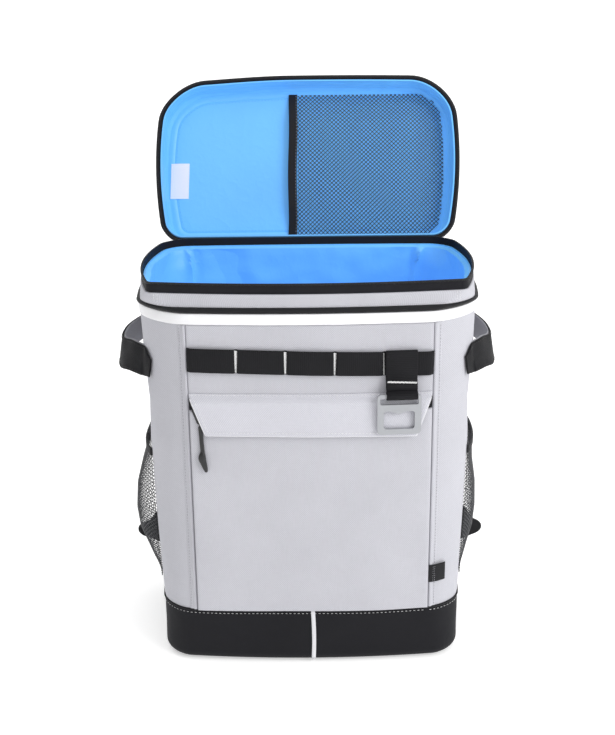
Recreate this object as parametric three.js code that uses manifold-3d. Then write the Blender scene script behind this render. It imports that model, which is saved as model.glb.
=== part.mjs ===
// A soft insulated backpack with its lid open, standing on its base.
// Millimetres, +Z up, -Y is the front. The origin is the middle of the base, on the floor.
import * as THREE from "three";
import { mergeVertices } from "three/addons/utils/BufferGeometryUtils.js";
import Module from "manifold-3d";

const wasm = await Module();
wasm.setup();

// Body
const BODY_WIDTH = 332; // across the straight sides, at the top of the body
const BODY_DEPTH = 196;
const BODY_HEIGHT = 390; // floor to the top of the light band
const CORNER_RADIUS = 48; // upright corners at the top of the body
const FRONT_BOW = 10; // how far the middle of the front stands out
const SIDE_BOW = 8;
const BACK_BOW = 3;
const WALL = 6; // outer cloth with its foam
const LINING = 1.5;
const GAP = 0.3; // between two pieces that touch

// Base boot
const BOOT_HEIGHT = 62;
const BOOT_WALL = 2;
const BOTTOM_ROUND = 11; // round between the sides and the floor
const FOOT_PIPING_WIDTH = 4.5;
const FOOT_PIPING_THICK = 1.4;

// Top of the body
const PIPING_HEIGHT = 5.4;
const PIPING_PROUD = 3;
const COLLAR_HEIGHT = 13.4;
const BAND_HEIGHT = 11.6;
const BAND_THICK = 1;
const RIM_TAPE_HEIGHT = 10.4;
const RIM_TAPE_THICK = 1.8;
const RIM_TAPE_INSET = 0.6; // from the collar's outside
const LINER_ABOVE_COLLAR = 3;

// Front panel and its seams
const PANEL_HALF_WIDTH = 122.5;
const PANEL_THICK = 1.6;
const SEAM_WIDTH = 8;
const SEAM_THICK = 2.4;

// Ladder webbing
const WEBBING_MIDDLE = 337.8; // height above the floor
const WEBBING_WIDTH = 25;
const WEBBING_THICK = 1.4;
const WEBBING_LIFT = 2.1; // how far a bay stands off the panel
const WEBBING_BAYS = 5;
const TACK_RAMP = 3; // length in which a bay rises from its tack

// Front pocket
const POCKET_THICK = 2.4;
const ZIP_TOP = 301.5;
const ZIP_HEIGHT = 12;
const ZIP_THICK = 1.4;
const FLAP_TOP = 307;
const FLAP_HEIGHT = 49.5;
const FLAP_SEAM = 3.5; // height of the strip that is sewn down
const FLAP_SLANT = 16.5; // how far each slanted end runs inwards
const FLAP_THICK = 1.5;
const FLAP_LIFT = 5.7; // how far the free edge stands out from the sewn strip

// Slider and puller of the pocket's zip
const SLIDER_X = -115.5;
const SLIDER_LENGTH = 8;
const SLIDER_HEIGHT = 6;
const SLIDER_THICK = 2;
const PULL_LENGTH = 68;
const PULL_CORD = 3;
const PULL_WIDTH = 8; // across the moulded grip
const PULL_THICK = 4;
const PULL_SWAY = 5; // how far its tip hangs to the right

// Bottle opener on its webbing loop
const OPENER_X = 89.7;
const OPENER_WIDTH = 44;
const OPENER_HEIGHT = 42.2;
const OPENER_THICK = 3;
const OPENER_CORNER = 4;
const OPENER_BAR = 4.2; // height of the bar in the loop
const SLOT_WIDTH = 38.4;
const SLOT_HEIGHT = 6.6;
const WINDOW_WIDTH = 31;
const WINDOW_HEIGHT = 19;
const WINDOW_SILL = 5.6; // metal under the window
const WINDOW_CORNER = 3;
const LIP_DEPTH = 3;
const LIP_WIDTH = 18;
const PIVOT_DROP = 31.5; // from the ladder webbing's middle down to the middle of the bar
const PIVOT_OUT = 11.2; // from the body to the middle of the bar
const LOOP_WIDTH = 31.8;
const LOOP_THICK = 1.3;
const LOOP_SHIFT = 2.8; // the loop lies to the right of the slot's middle
const LOOP_CLEARANCE = 0.4;
const NECK_DROP = 4.3; // from the ladder webbing's lower edge down to the loop's neck
const NECK_HEIGHT = 5; // the two legs of the loop are sewn together over this height

// Label tab in the right seam
const TAB_WIDTH = 17;
const TAB_HEIGHT = 20;
const TAB_THICK = 0.8;
const TAB_BOTTOM = 92;

// Side handles
const HANDLE_HEIGHT = 32;
const HANDLE_THICK = 2; // black webbing outside
const HANDLE_LINING = 2; // grey cloth inside
const HANDLE_MIDDLE = 327.5; // height of the webbing's middle at its front end
const HANDLE_LENGTH = 132; // front end to rear end, measured along Y
const HANDLE_FRONT = -64;
const HANDLE_BULGE_LEFT = 25;
const HANDLE_BULGE_RIGHT = 21;
const HANDLE_SAG = 10;
const HANDLE_RISE = 4; // how much higher its rear end is sewn

// Side net pockets
const NET_THICK = 1.2;
const NET_HALF_SPAN = 62;
const NET_BOTTOM = 80;
const NET_TOP = 222;
const NET_BULGE_LEFT = 25;
const NET_BULGE_RIGHT = 15;
const NET_MOUTH = 7; // how far the mouth's binding stands off the body
const NET_BINDING = 9;
const NET_BINDING_THICK = 2.2;
const NET_CELL = 34; // width and height of one gap with its strand
const NET_STRAND = 4.5;

// Back panel and shoulder straps
const BACK_PANEL_HALF_WIDTH = 110;
const BACK_PANEL_BOTTOM = 72;
const BACK_PANEL_TOP = 378;
const BACK_PANEL_THICK = 4;
const STRAP_SPREAD = 100; // of the two straps' lower ends
const STRAP_WIDTH = 58;
const STRAP_THICK = 12;
const STRAP_STAND_OFF = 46; // most that a strap stands behind the back panel
const STRAP_WEBBING_WIDTH = 25;
const STRAP_WEBBING_THICK = 1.6;
const BUCKLE_WIDTH = 36;
const BUCKLE_HEIGHT = 26;
const BUCKLE_THICK = 4;
const BUCKLE_BAR = 4;
const BUCKLE_CORNER = 3;
const BUCKLE_DROP = 17.7; // from the strap's lower end down to the buckle's middle
const WING_THICK = 3.2;
const WING_Y = 88; // how far behind the middle the lower strap wings lie
const WING_REACH = 213; // from the middle to the point of a wing, before it is blunted
const WING_BOTTOM = 37;
const WING_HEIGHT = 52;

// Lid
const LID_HEIGHT = 187.5;
const LID_WIDTH = 326;
const LID_DEPTH = 32;
const LID_CORNER = 46;
const LID_HINGE_CORNER = 22;
const LID_SIDE_BOW = 9.5;
const LID_TOP_BOW = 2.5;
const LID_LEAN = 22; // degrees behind upright
const LID_WALL = 5;
const LID_TAPER = 11; // how much smaller the lid's floor is than its edge, on each side
const LID_TAPE_DEPTH = 8;
const LID_TAPE_THICK = 4.3;
const HINGE_Y = 99.8;
const HINGE_Z = 416;
const HINGE_WIDTH = 230;
const HINGE_TAPE_HEIGHT = 17;
const HINGE_TAPE_THICK = 1.4;
const HINGE_TAPE_DROP = 1.3; // from the lid's edge to the top of the tape

// Net pocket and tag in the lid
const LID_NET_LEFT = -12;
const LID_NET_BOTTOM = 7.5;
const LID_NET_TOP = 166;
const LID_NET_BULGE = 9.5;
const LID_NET_MOUTH = 7; // how far the pocket's mouth stands off the lining
const LID_NET_CELL = 28;
const LID_NET_CORNER = 30;
const LID_NET_MARGIN = 4; // from the net's right edge to the side of the lining
const LID_BINDING_WIDTH = 10;
const LID_BINDING_THICK = 1.6;
const TAG_MARGIN = 2.2; // from the tag's left edge to the side of the lining
const TAG_WIDTH = 21;
const TAG_HEIGHT = 41;
const TAG_BOTTOM = 51;
const TAG_THICK = 0.7;

// Steps of the round forms
const CORNER_STEPS = 4;
const LONG_SIDE_STEPS = 6;
const SHORT_SIDE_STEPS = 4;
// Shares of a wide front piece's width, closer together where the upright corners begin
const WIDE_STEPS = [0, 0.02, 0.05, 0.1, 0.23, 0.41, 0.59, 0.77, 0.9, 0.95, 0.98, 1];
// Shares of a side net's width, closer together at its ends
const NET_STEPS = [0, 0.06, 0.16, 0.33, 0.5, 0.67, 0.84, 0.94, 1];

// Heights and distances that follow from the sizes above
const WALL_BOTTOM = BOOT_HEIGHT + GAP;
const COLLAR_BOTTOM = BODY_HEIGHT + GAP + PIPING_HEIGHT + GAP;
const COLLAR_TOP = COLLAR_BOTTOM + COLLAR_HEIGHT;
const LINER_TOP = COLLAR_TOP + LINER_ABOVE_COLLAR;
const LINER_OUTSIDE = WALL + 4 * GAP;
const BAND_BOTTOM = BODY_HEIGHT - BAND_HEIGHT;
const ZIP_BOTTOM = ZIP_TOP - ZIP_HEIGHT;
const PANEL_FACE = GAP + PANEL_THICK;
const ZIP_FACE = PANEL_FACE + GAP + ZIP_THICK;
const POCKET_FACE = PANEL_FACE + GAP + POCKET_THICK;
const HANDLE_FACE = GAP + HANDLE_LINING + GAP;
const BACK_FACE = GAP + BACK_PANEL_THICK;
const LID_INSIDE = LID_WALL + GAP + LINING; // thickness of the lid's wall with its lining
const LID_FLOOR = LID_DEPTH - LID_INSIDE; // depth of the lining's face in the lid
const LID_FLOOR_SIDE = LID_WIDTH / 2 + LID_SIDE_BOW - LID_TAPER - LID_INSIDE;
const LID_NET_RIGHT = LID_FLOOR_SIDE - LID_NET_MARGIN;
const TAG_LEFT = TAG_MARGIN - LID_FLOOR_SIDE;
const PIVOT_HEIGHT = WEBBING_MIDDLE - PIVOT_DROP;
const NECK_TOP = WEBBING_MIDDLE - WEBBING_WIDTH / 2 - NECK_DROP;
const NECK_BOTTOM = NECK_TOP - NECK_HEIGHT;

// The body's plan at each height. height is a share of BODY_HEIGHT, and the others are shares of
// BODY_WIDTH, BODY_DEPTH, CORNER_RADIUS, FRONT_BOW and SIDE_BOW.
const BODY_ROWS = [
  { height: 0, width: 0.94, depth: 1, corner: 0.55, front: 1, side: 0.8 },
  { height: 0.16, width: 0.947, depth: 1, corner: 0.66, front: 1, side: 0.9 },
  { height: 0.44, width: 0.965, depth: 1, corner: 0.9, front: 1, side: 1 },
  { height: 0.62, width: 0.978, depth: 1, corner: 0.92, front: 1, side: 0.9 },
  { height: 0.73, width: 0.97, depth: 1, corner: 0.95, front: 1, side: 0.9 },
  { height: 0.88, width: 0.985, depth: 1, corner: 1, front: 1, side: 1.2 },
  { height: 1, width: 1, depth: 1, corner: 1, front: 1.1, side: 1.4 },
];
// The rim, pulled square at the front and bowed out at the sides, in the same shares.
const RIM_ROW = { width: 0.952, depth: 0.985, corner: 0.5, front: 1.3, side: 1.9 };

// How the flap stands off. drop is a share of FLAP_HEIGHT from its top, and out of FLAP_LIFT.
const FLAP_ROWS = [
  { drop: 0, out: 0 },
  { drop: 0.07, out: 0 },
  { drop: 0.105, out: 0.32 },
  { drop: 0.18, out: 0.7 },
  { drop: 0.75, out: 0.95 },
  { drop: 1, out: 1 },
];

// The zip's puller from its tip to its top. height is a share of PULL_LENGTH, width of PULL_WIDTH
// and thick of PULL_THICK.
const PULL_ROWS = [
  { height: 0, width: 0.75, thick: 0.8 },
  { height: 0.08, width: 1, thick: 1 },
  { height: 0.4, width: 1, thick: 1 },
  { height: 0.5, width: PULL_CORD / PULL_WIDTH, thick: 0.3 },
  { height: 1, width: PULL_CORD / PULL_WIDTH, thick: 0.25 },
];

// A side handle from front to rear. along is a share of HANDLE_LENGTH, out of its bulge and down
// of HANDLE_SAG.
const HANDLE_ROWS = [
  { along: 0, out: 0, down: 0 },
  { along: 0.07, out: 0, down: 0.05 },
  { along: 0.2, out: 0.45, down: 0.5 },
  { along: 0.33, out: 0.86, down: 0.9 },
  { along: 0.48, out: 1, down: 1 },
  { along: 0.63, out: 0.9, down: 0.75 },
  { along: 0.77, out: 0.58, down: 0.4 },
  { along: 0.92, out: 0, down: 0 },
  { along: 0.96, out: 0, down: 0 },
  { along: 1, out: 0, down: 0 },
];

// A side net from its bottom to its mouth. height is a share of the net's height, out of its bulge.
const NET_ROWS = [
  { height: 0, out: 0 },
  { height: 0.12, out: 0.5 },
  { height: 0.3, out: 0.94 },
  { height: 0.45, out: 1 },
  { height: 0.65, out: 0.86 },
  { height: 0.85, out: 0.55 },
];

// The middle line of a shoulder strap from its lower end to its top. across is a share of
// STRAP_SPREAD, out of STRAP_STAND_OFF, height of BODY_HEIGHT and width of STRAP_WIDTH.
const STRAP_ROWS = [
  { across: 0.94, out: 0.3, height: 0.43, width: 0.62 },
  { across: 0.9, out: 0.62, height: 0.52, width: 0.9 },
  { across: 0.8, out: 0.92, height: 0.63, width: 1 },
  { across: 0.68, out: 1, height: 0.74, width: 1 },
  { across: 0.56, out: 0.78, height: 0.85, width: 1 },
  { across: 0.48, out: 0.3, height: 0.925, width: 1 },
  { across: 0.46, out: -0.01, height: 0.96, width: 1 },
];

// The lid's tray from its tape to its floor. depth is a share of LID_DEPTH and inset of LID_TAPER.
const LID_ROWS = [
  { depth: 0.26, inset: 0 },
  { depth: 0.6, inset: 0.12 },
  { depth: 0.85, inset: 0.4 },
  { depth: 1, inset: 1 },
];

const mix = THREE.MathUtils.lerp;
const radians = THREE.MathUtils.degToRad;
const shares = (steps) => Array.from({ length: steps + 1 }, (_, k) => k / steps);
const same = (value) => () => value;

// Reads a table at a share of its key column, in a straight line between two rows.
function read(rows, key, share, column) {
  const passed = rows.filter((row) => row[key] < share).length;
  const next = Math.min(Math.max(1, passed), rows.length - 1);
  const [low, high] = [rows[next - 1], rows[next]];
  return mix(low[column], high[column], (share - low[key]) / (high[key] - low[key]));
}

// The body's plan at height z: half sizes, corner radius and bows.
function planAt(z) {
  const above = Math.min(1, Math.max(0, (z - BODY_HEIGHT) / (COLLAR_TOP - BODY_HEIGHT)));
  const height = Math.min(1, Math.max(0, z / BODY_HEIGHT));
  const share = (column) => mix(read(BODY_ROWS, "height", height, column), RIM_ROW[column], above);
  return {
    halfWidth: (share("width") * BODY_WIDTH) / 2,
    halfDepth: (share("depth") * BODY_DEPTH) / 2,
    corner: share("corner") * CORNER_RADIUS,
    front: share("front") * FRONT_BOW,
    side: share("side") * SIDE_BOW,
    back: BACK_BOW,
  };
}

// Heights from low to high with every row of the body's table between them.
function levels(low, high) {
  const rows = [...BODY_ROWS.map((row) => row.height * BODY_HEIGHT), COLLAR_BOTTOM, COLLAR_TOP];
  return [low, ...rows.filter((z) => z > low + 1 && z < high - 1), high];
}

// Moves a point of a round-cornered rectangle outwards by the bows of its four sides.
function bowed(x, y, plan, halfWidth, halfDepth) {
  const bow = y < 0 ? plan.front : plan.back;
  const along = Math.sign(y) * bow * (1 - (x / halfWidth) ** 2) * (y / halfDepth) ** 4;
  const across = Math.sign(x) * plan.side * (1 - (y / halfDepth) ** 2) * (x / halfWidth) ** 4;
  return [x + across, y + along];
}

// A closed plan outline with a fixed number of points, anticlockwise, moved outwards by offset.
function outline(plan, offset) {
  const halfWidth = plan.halfWidth + offset;
  const halfDepth = plan.halfDepth + offset;
  const near = Math.max(1, plan.corner + offset);
  const far = Math.max(1, (plan.farCorner ?? plan.corner) + offset);
  const corners = [
    { x: halfWidth - near, y: near - halfDepth, radius: near, start: -90 },
    { x: halfWidth - far, y: halfDepth - far, radius: far, start: 0 },
    { x: far - halfWidth, y: halfDepth - far, radius: far, start: 90 },
    { x: near - halfWidth, y: near - halfDepth, radius: near, start: 180 },
  ];
  const onCorner = ({ x, y, radius, start }, share) => {
    const angle = radians(start + 90 * share);
    return [x + radius * Math.cos(angle), y + radius * Math.sin(angle)];
  };
  const points = corners.flatMap((corner, i) => {
    const arc = shares(CORNER_STEPS).map((share) => onCorner(corner, share));
    const from = arc.at(-1);
    const to = onCorner(corners[(i + 1) % corners.length], 0);
    const steps = i % 2 ? LONG_SIDE_STEPS : SHORT_SIDE_STEPS;
    const side = shares(steps).slice(1, -1);
    return [...arc, ...side.map((share) => [mix(from[0], to[0], share), mix(from[1], to[1], share)])];
  });
  return points.map(([x, y]) => bowed(x, y, plan, halfWidth, halfDepth));
}

const ringAt = (z, offset) => outline(planAt(z), offset).map(([x, y]) => new THREE.Vector3(x, y, z));

function toMesh(points, index) {
  const geometry = new THREE.BufferGeometry();
  geometry.setAttribute("position", new THREE.BufferAttribute(new Float32Array(points.length * 3), 3));
  points.forEach((point, i) => geometry.attributes.position.setXYZ(i, point.x, point.y, point.z));
  geometry.setIndex(index);
  return geometry;
}

// The walls between rings of as many points each.
function wallFaces(rings, closed) {
  const count = rings[0].length;
  const spans = closed ? rings.length : rings.length - 1;
  const faces = [];
  for (let r = 0; r < spans; r += 1) {
    const low = r * count;
    const high = ((r + 1) % rings.length) * count;
    for (let k = 0; k < count; k += 1) {
      const next = (k + 1) % count;
      faces.push(low + k, low + next, high + next, low + k, high + next, high + k);
    }
  }
  return faces;
}

// A solid through rings, capped at both ends by fans.
function loft(rings) {
  const count = rings[0].length;
  const last = (rings.length - 1) * count;
  const points = rings.flat();
  const faces = wallFaces(rings, false);
  const middle = (ring) =>
    ring.reduce((sum, point) => sum.add(point), new THREE.Vector3()).divideScalar(count);
  points.push(middle(rings[0]), middle(rings.at(-1)));
  for (let k = 0; k < count; k += 1) {
    const next = (k + 1) % count;
    faces.push(points.length - 2, next, k);
    faces.push(points.length - 1, last + k, last + next);
  }
  return toMesh(points, faces);
}

// A solid through rings that meets itself, like a tyre.
const tyre = (rings) => toMesh(rings.flat(), wallFaces(rings, true));

// A sheet between two skins, each a function of u and v from 0 to 1 that gives a point. Seen from
// outside, u runs to the right and v upwards.
function sheet(us, vs, inner, outer) {
  const points = [inner, outer].flatMap((skin) => us.flatMap((u) => vs.map((v) => skin(u, v))));
  const at = (skin, i, j) => (skin * us.length + i) * vs.length + j;
  const faces = [];
  const quad = (a, b, c, d) => faces.push(a, b, c, a, c, d);
  const top = vs.length - 1;
  const end = us.length - 1;
  for (let i = 0; i < end; i += 1) {
    for (let j = 0; j < top; j += 1) {
      quad(at(1, i, j), at(1, i + 1, j), at(1, i + 1, j + 1), at(1, i, j + 1));
      quad(at(0, i, j), at(0, i, j + 1), at(0, i + 1, j + 1), at(0, i + 1, j));
    }
    quad(at(1, i, 0), at(0, i, 0), at(0, i + 1, 0), at(1, i + 1, 0));
    quad(at(1, i, top), at(1, i + 1, top), at(0, i + 1, top), at(0, i, top));
  }
  for (let j = 0; j < top; j += 1) {
    quad(at(0, 0, j), at(1, 0, j), at(1, 0, j + 1), at(0, 0, j + 1));
    quad(at(0, end, j), at(0, end, j + 1), at(1, end, j + 1), at(1, end, j));
  }
  return toMesh(points, faces);
}

// A strip of cloth along points. across is the direction of its width, and its outside faces
// across x (direction of the path). inner and outer are its faces' distances from the points.
function ribbon({ points, across, width, inner, outer }) {
  const frames = points.map((point, i) => {
    const tangent = points[Math.min(i + 1, points.length - 1)].clone();
    tangent.sub(points[Math.max(i - 1, 0)]).normalize();
    const side = across.clone().addScaledVector(tangent, -across.dot(tangent)).normalize();
    return { point, side, out: side.clone().cross(tangent) };
  });
  const place = (distance) => (u, v) => {
    const { point, side, out } = frames[Math.round(v * (points.length - 1))];
    const reach = (u - 0.5) * width(v);
    return point.clone().addScaledVector(side, reach).addScaledVector(out, distance);
  };
  return sheet([0, 1], shares(points.length - 1), place(inner), place(outer));
}

// The bare surface of a solid: its points, each once, and its faces.
function bare(geometry) {
  const made = geometry.clone();
  made.deleteAttribute("normal");
  made.deleteAttribute("uv");
  return mergeVertices(made);
}

// The same solid on the other side of the middle.
function mirrored(geometry) {
  const made = bare(geometry).scale(-1, 1, 1);
  const index = made.index.array;
  for (let i = 0; i < index.length; i += 3) {
    [index[i], index[i + 1]] = [index[i + 1], index[i]];
  }
  return made;
}

// Joins and cuts of solids
function toSolid(geometry) {
  const merged = bare(geometry);
  return new wasm.Manifold(
    new wasm.Mesh({
      numProp: 3,
      vertProperties: merged.attributes.position.array,
      triVerts: new Uint32Array(merged.index.array),
    }),
  );
}

function toGeometry(solid) {
  const mesh = solid.getMesh();
  const points = Array.from({ length: mesh.numVert }, (_, i) =>
    new THREE.Vector3().fromArray(mesh.vertProperties, i * mesh.numProp),
  );
  return toMesh(points, [...mesh.triVerts]);
}

const cut = (geometry, tools) =>
  toGeometry(tools.reduce((solid, tool) => solid.subtract(toSolid(tool)), toSolid(geometry)));

// A path's corners, each once, with as many steps in each of its curves.
function cornersOf(path, steps) {
  const points = path.getPoints(steps);
  return points.filter((point, i) => point.distanceTo(points[(i + 1) % points.length]) > GAP / 100);
}

function extruded(shape, depth, steps) {
  const plain = new THREE.Shape(cornersOf(shape, steps));
  plain.holes = shape.holes.map((hole) => new THREE.Path(cornersOf(hole, steps)));
  return new THREE.ExtrudeGeometry(plain, { depth, bevelEnabled: false });
}

// An outline in x and z made solid between y = front and y = front + thick.
const plate = (shape, front, thick) =>
  extruded(shape, thick, 2).rotateX(Math.PI / 2).translate(0, front + thick, 0);

// A rectangle with round corners, around a middle.
function roundedRectangle(width, height, radius, middle = 0, path = new THREE.Shape()) {
  const x = width / 2 - radius;
  const y = height / 2 - radius;
  const quarter = Math.PI / 2;
  path.absarc(x, middle - y, radius, -quarter, 0);
  path.absarc(x, middle + y, radius, 0, quarter);
  path.absarc(-x, middle + y, radius, quarter, 2 * quarter);
  path.absarc(-x, middle - y, radius, 2 * quarter, 3 * quarter);
  path.closePath();
  return path;
}

// Diamond prisms along y, in rows that leave the strands of a net between them.
function diamonds({ left, right, bottom, top, cell, inside }) {
  const columns = Math.floor((right - left) / cell);
  const rows = Math.floor((top - bottom) / cell);
  const halfWidth = (right - left) / columns / 2;
  const halfHeight = (top - bottom) / rows / 2;
  const made = [];
  for (let row = 1; row < 2 * rows; row += 1) {
    const shift = row % 2 ? 1 : 2;
    for (let column = 0; column <= columns - shift; column += 1) {
      const x = left + halfWidth * (2 * column + shift);
      const z = bottom + halfHeight * row;
      const shape = new THREE.Shape();
      shape.moveTo(x - halfWidth + NET_STRAND / 2, z);
      shape.lineTo(x, z - halfHeight + NET_STRAND / 2);
      shape.lineTo(x + halfWidth - NET_STRAND / 2, z);
      shape.lineTo(x, z + halfHeight - NET_STRAND / 2);
      if (inside(x, z)) made.push(plate(shape, -BODY_WIDTH, 2 * BODY_WIDTH));
    }
  }
  return made;
}

// Points on the body's front, back and sides, offset outwards
function facePoint(x, y, z, offset) {
  const plan = planAt(z);
  const halfWidth = plan.halfWidth + offset;
  const halfDepth = plan.halfDepth + offset;
  const radius = plan.corner + offset;
  const round = (along, breadth) => {
    const past = Math.max(0, Math.abs(along) - (breadth - radius));
    return radius - Math.sqrt(radius ** 2 - past ** 2);
  };
  if (x === undefined) {
    const flat = halfWidth - round(y, halfDepth);
    return new THREE.Vector3(bowed(flat, y, plan, halfWidth, halfDepth)[0], y, z);
  }
  const flat = Math.sign(y) * (halfDepth - round(x, halfWidth));
  return new THREE.Vector3(x, bowed(x, flat, plan, halfWidth, halfDepth)[1], z);
}

const frontPoint = (x, z, offset) => facePoint(x, -1, z, offset);
const backPoint = (x, z, offset) => facePoint(x, 1, z, offset);
const sidePoint = (y, z, offset) => facePoint(undefined, y, z, offset);

// A sheet on the front. left, right, inner and outer are functions of the height.
function frontSheet({ heights, left, right, inner, outer, steps = WIDE_STEPS }) {
  const place = (offset) => (u, v) => {
    const z = heights[Math.round(v * (heights.length - 1))];
    return frontPoint(mix(left(z), right(z), u), z, offset(z));
  };
  return sheet(steps, shares(heights.length - 1), place(inner), place(outer));
}

// A sheet on the back, between two distances from the body.
function backSheet(halfWidth, heights, inner, outer) {
  const place = (offset) => (u, v) => {
    const z = heights[Math.round(v * (heights.length - 1))];
    return backPoint(mix(halfWidth, -halfWidth, u), z, offset);
  };
  return sheet(shares(6), shares(heights.length - 1), place(inner), place(outer));
}

const wallRings = (bottom, top, inset) => levels(bottom, top).map((z) => ringAt(z, -inset));

// Rings of a bowl that stands on the floor, inset from the body's outside, from its floor upwards.
function bowlRings(inset, top) {
  const rounded = [0, 30, 60, 90].map((turn) => {
    const radius = BOTTOM_ROUND - inset;
    const z = BOTTOM_ROUND - radius * Math.cos(radians(turn));
    return ringAt(z, -inset - radius * (1 - Math.sin(radians(turn))));
  });
  return [...rounded, ...wallRings(BOTTOM_ROUND, top, inset).slice(1)];
}

// A band around the body, between two insets.
const hoop = (bottom, top, inner, outer) =>
  tyre([...wallRings(bottom, top, outer), ...wallRings(bottom, top, inner).toReversed()]);

const FINISHES = {
  cloth: { color: 0xcfcfd9, roughness: 0.85, metalness: 0 },
  band: { color: 0xf3f3f8, roughness: 0.6, metalness: 0 },
  black: { color: 0x303034, roughness: 0.8, metalness: 0 },
  boot: { color: 0x2e2e32, roughness: 0.7, metalness: 0 },
  blue: { color: 0x6ab9fd, roughness: 0.5, metalness: 0 },
  net: { color: 0x182030, roughness: 0.8, metalness: 0 },
  lining: { color: 0x9a9aa4, roughness: 0.9, metalness: 0 },
  metal: { color: 0xc4c5c8, roughness: 0.35, metalness: 0.9 },
  plastic: { color: 0x1c1c1f, roughness: 0.5, metalness: 0 },
  paper: { color: 0xf4f4f8, roughness: 0.9, metalness: 0 },
};

function piece(name, geometry, finish) {
  const made = new THREE.Mesh(geometry, new THREE.MeshStandardMaterial(FINISHES[finish]));
  made.name = name;
  return made;
}

function baseBoot() {
  const outside = bowlRings(0, BOOT_HEIGHT);
  const inside = bowlRings(BOOT_WALL, BOOT_HEIGHT).toReversed();
  return piece("base_boot", loft([...outside, ...inside]), "boot");
}

function footPiping() {
  const heights = [30, 60, 90].map((turn) => BOTTOM_ROUND * (1 - Math.cos(radians(turn))));
  const points = [...heights, BOOT_HEIGHT].map((z) => {
    const below = Math.max(0, BOTTOM_ROUND - z);
    const inset = BOTTOM_ROUND - Math.sqrt(BOTTOM_ROUND ** 2 - below ** 2);
    return frontPoint(0, z, -inset);
  });
  const across = new THREE.Vector3(1, 0, 0);
  const outer = GAP + FOOT_PIPING_THICK;
  const strip = ribbon({ points, across, width: same(FOOT_PIPING_WIDTH), inner: GAP, outer });
  return piece("foot_piping", strip, "cloth");
}

function bodyShell() {
  const inBoot = bowlRings(BOOT_WALL + GAP, WALL_BOTTOM);
  const aboveBoot = wallRings(WALL_BOTTOM, BODY_HEIGHT, 0);
  const inside = bowlRings(WALL, BODY_HEIGHT).toReversed();
  return piece("body_shell", loft([...inBoot, ...aboveBoot, ...inside]), "cloth");
}

function innerLiner() {
  const outside = bowlRings(LINER_OUTSIDE, LINER_TOP);
  const inside = bowlRings(LINER_OUTSIDE + LINING, LINER_TOP).toReversed();
  return piece("inner_liner", loft([...outside, ...inside]), "blue");
}

function rimPieces() {
  const pipingTop = BODY_HEIGHT + GAP + PIPING_HEIGHT;
  const tapeBottom = COLLAR_TOP + GAP;
  const tapeInside = RIM_TAPE_INSET + RIM_TAPE_THICK;
  const band = hoop(BAND_BOTTOM, BODY_HEIGHT, -GAP, -GAP - BAND_THICK);
  const piping = hoop(BODY_HEIGHT + GAP, pipingTop, WALL, -PIPING_PROUD);
  const collar = hoop(COLLAR_BOTTOM, COLLAR_TOP, WALL, 0);
  const tape = hoop(tapeBottom, tapeBottom + RIM_TAPE_HEIGHT, tapeInside, RIM_TAPE_INSET);
  return [
    piece("white_band", band, "band"),
    piece("body_piping", piping, "black"),
    piece("collar", collar, "cloth"),
    piece("rim_zipper", tape, "black"),
  ];
}

function frontPanel() {
  const heights = levels(WALL_BOTTOM, BAND_BOTTOM - GAP);
  const panel = frontSheet({
    heights,
    left: same(-PANEL_HALF_WIDTH),
    right: same(PANEL_HALF_WIDTH),
    inner: same(GAP),
    outer: same(PANEL_FACE),
  });
  const seam = frontSheet({
    heights,
    left: same(PANEL_HALF_WIDTH + GAP),
    right: same(PANEL_HALF_WIDTH + GAP + SEAM_WIDTH),
    inner: same(GAP),
    outer: same(SEAM_THICK),
    steps: shares(3),
  });
  return [
    piece("front_panel", panel, "cloth"),
    piece("seam_right", seam, "cloth"),
    piece("seam_left", mirrored(seam), "cloth"),
  ];
}

// Webbing that is tacked down at both ends and between its bays, and stands off in the bays.
function daisyChain() {
  const start = GAP - PANEL_HALF_WIDTH;
  const bay = (-2 * start) / WEBBING_BAYS;
  const stations = [{ x: start, lift: 0 }];
  for (let i = 0; i < WEBBING_BAYS; i += 1) {
    const left = start + i * bay;
    const right = left + bay;
    stations.push({ x: left + TACK_RAMP / 5, lift: 0 });
    stations.push({ x: left + TACK_RAMP, lift: WEBBING_LIFT });
    stations.push({ x: (left + right) / 2, lift: WEBBING_LIFT });
    stations.push({ x: right - TACK_RAMP, lift: WEBBING_LIFT });
    stations.push({ x: right - TACK_RAMP / 5, lift: 0 });
  }
  stations.push({ x: -start, lift: 0 });
  const place = (offset) => (u, v) => {
    const { x, lift } = stations[Math.round(u * (stations.length - 1))];
    const z = WEBBING_MIDDLE + (v - 0.5) * WEBBING_WIDTH;
    return frontPoint(x, z, offset + lift);
  };
  const inner = place(PANEL_FACE + GAP);
  const outer = place(PANEL_FACE + GAP + WEBBING_THICK);
  return piece("daisy_chain", sheet(shares(stations.length - 1), [0, 1], inner, outer), "black");
}

// How far the flap's inner face stands off the body at height z.
const flapInner = (z) =>
  PANEL_FACE + GAP + FLAP_LIFT * read(FLAP_ROWS, "drop", (FLAP_TOP - z) / FLAP_HEIGHT, "out");

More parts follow.
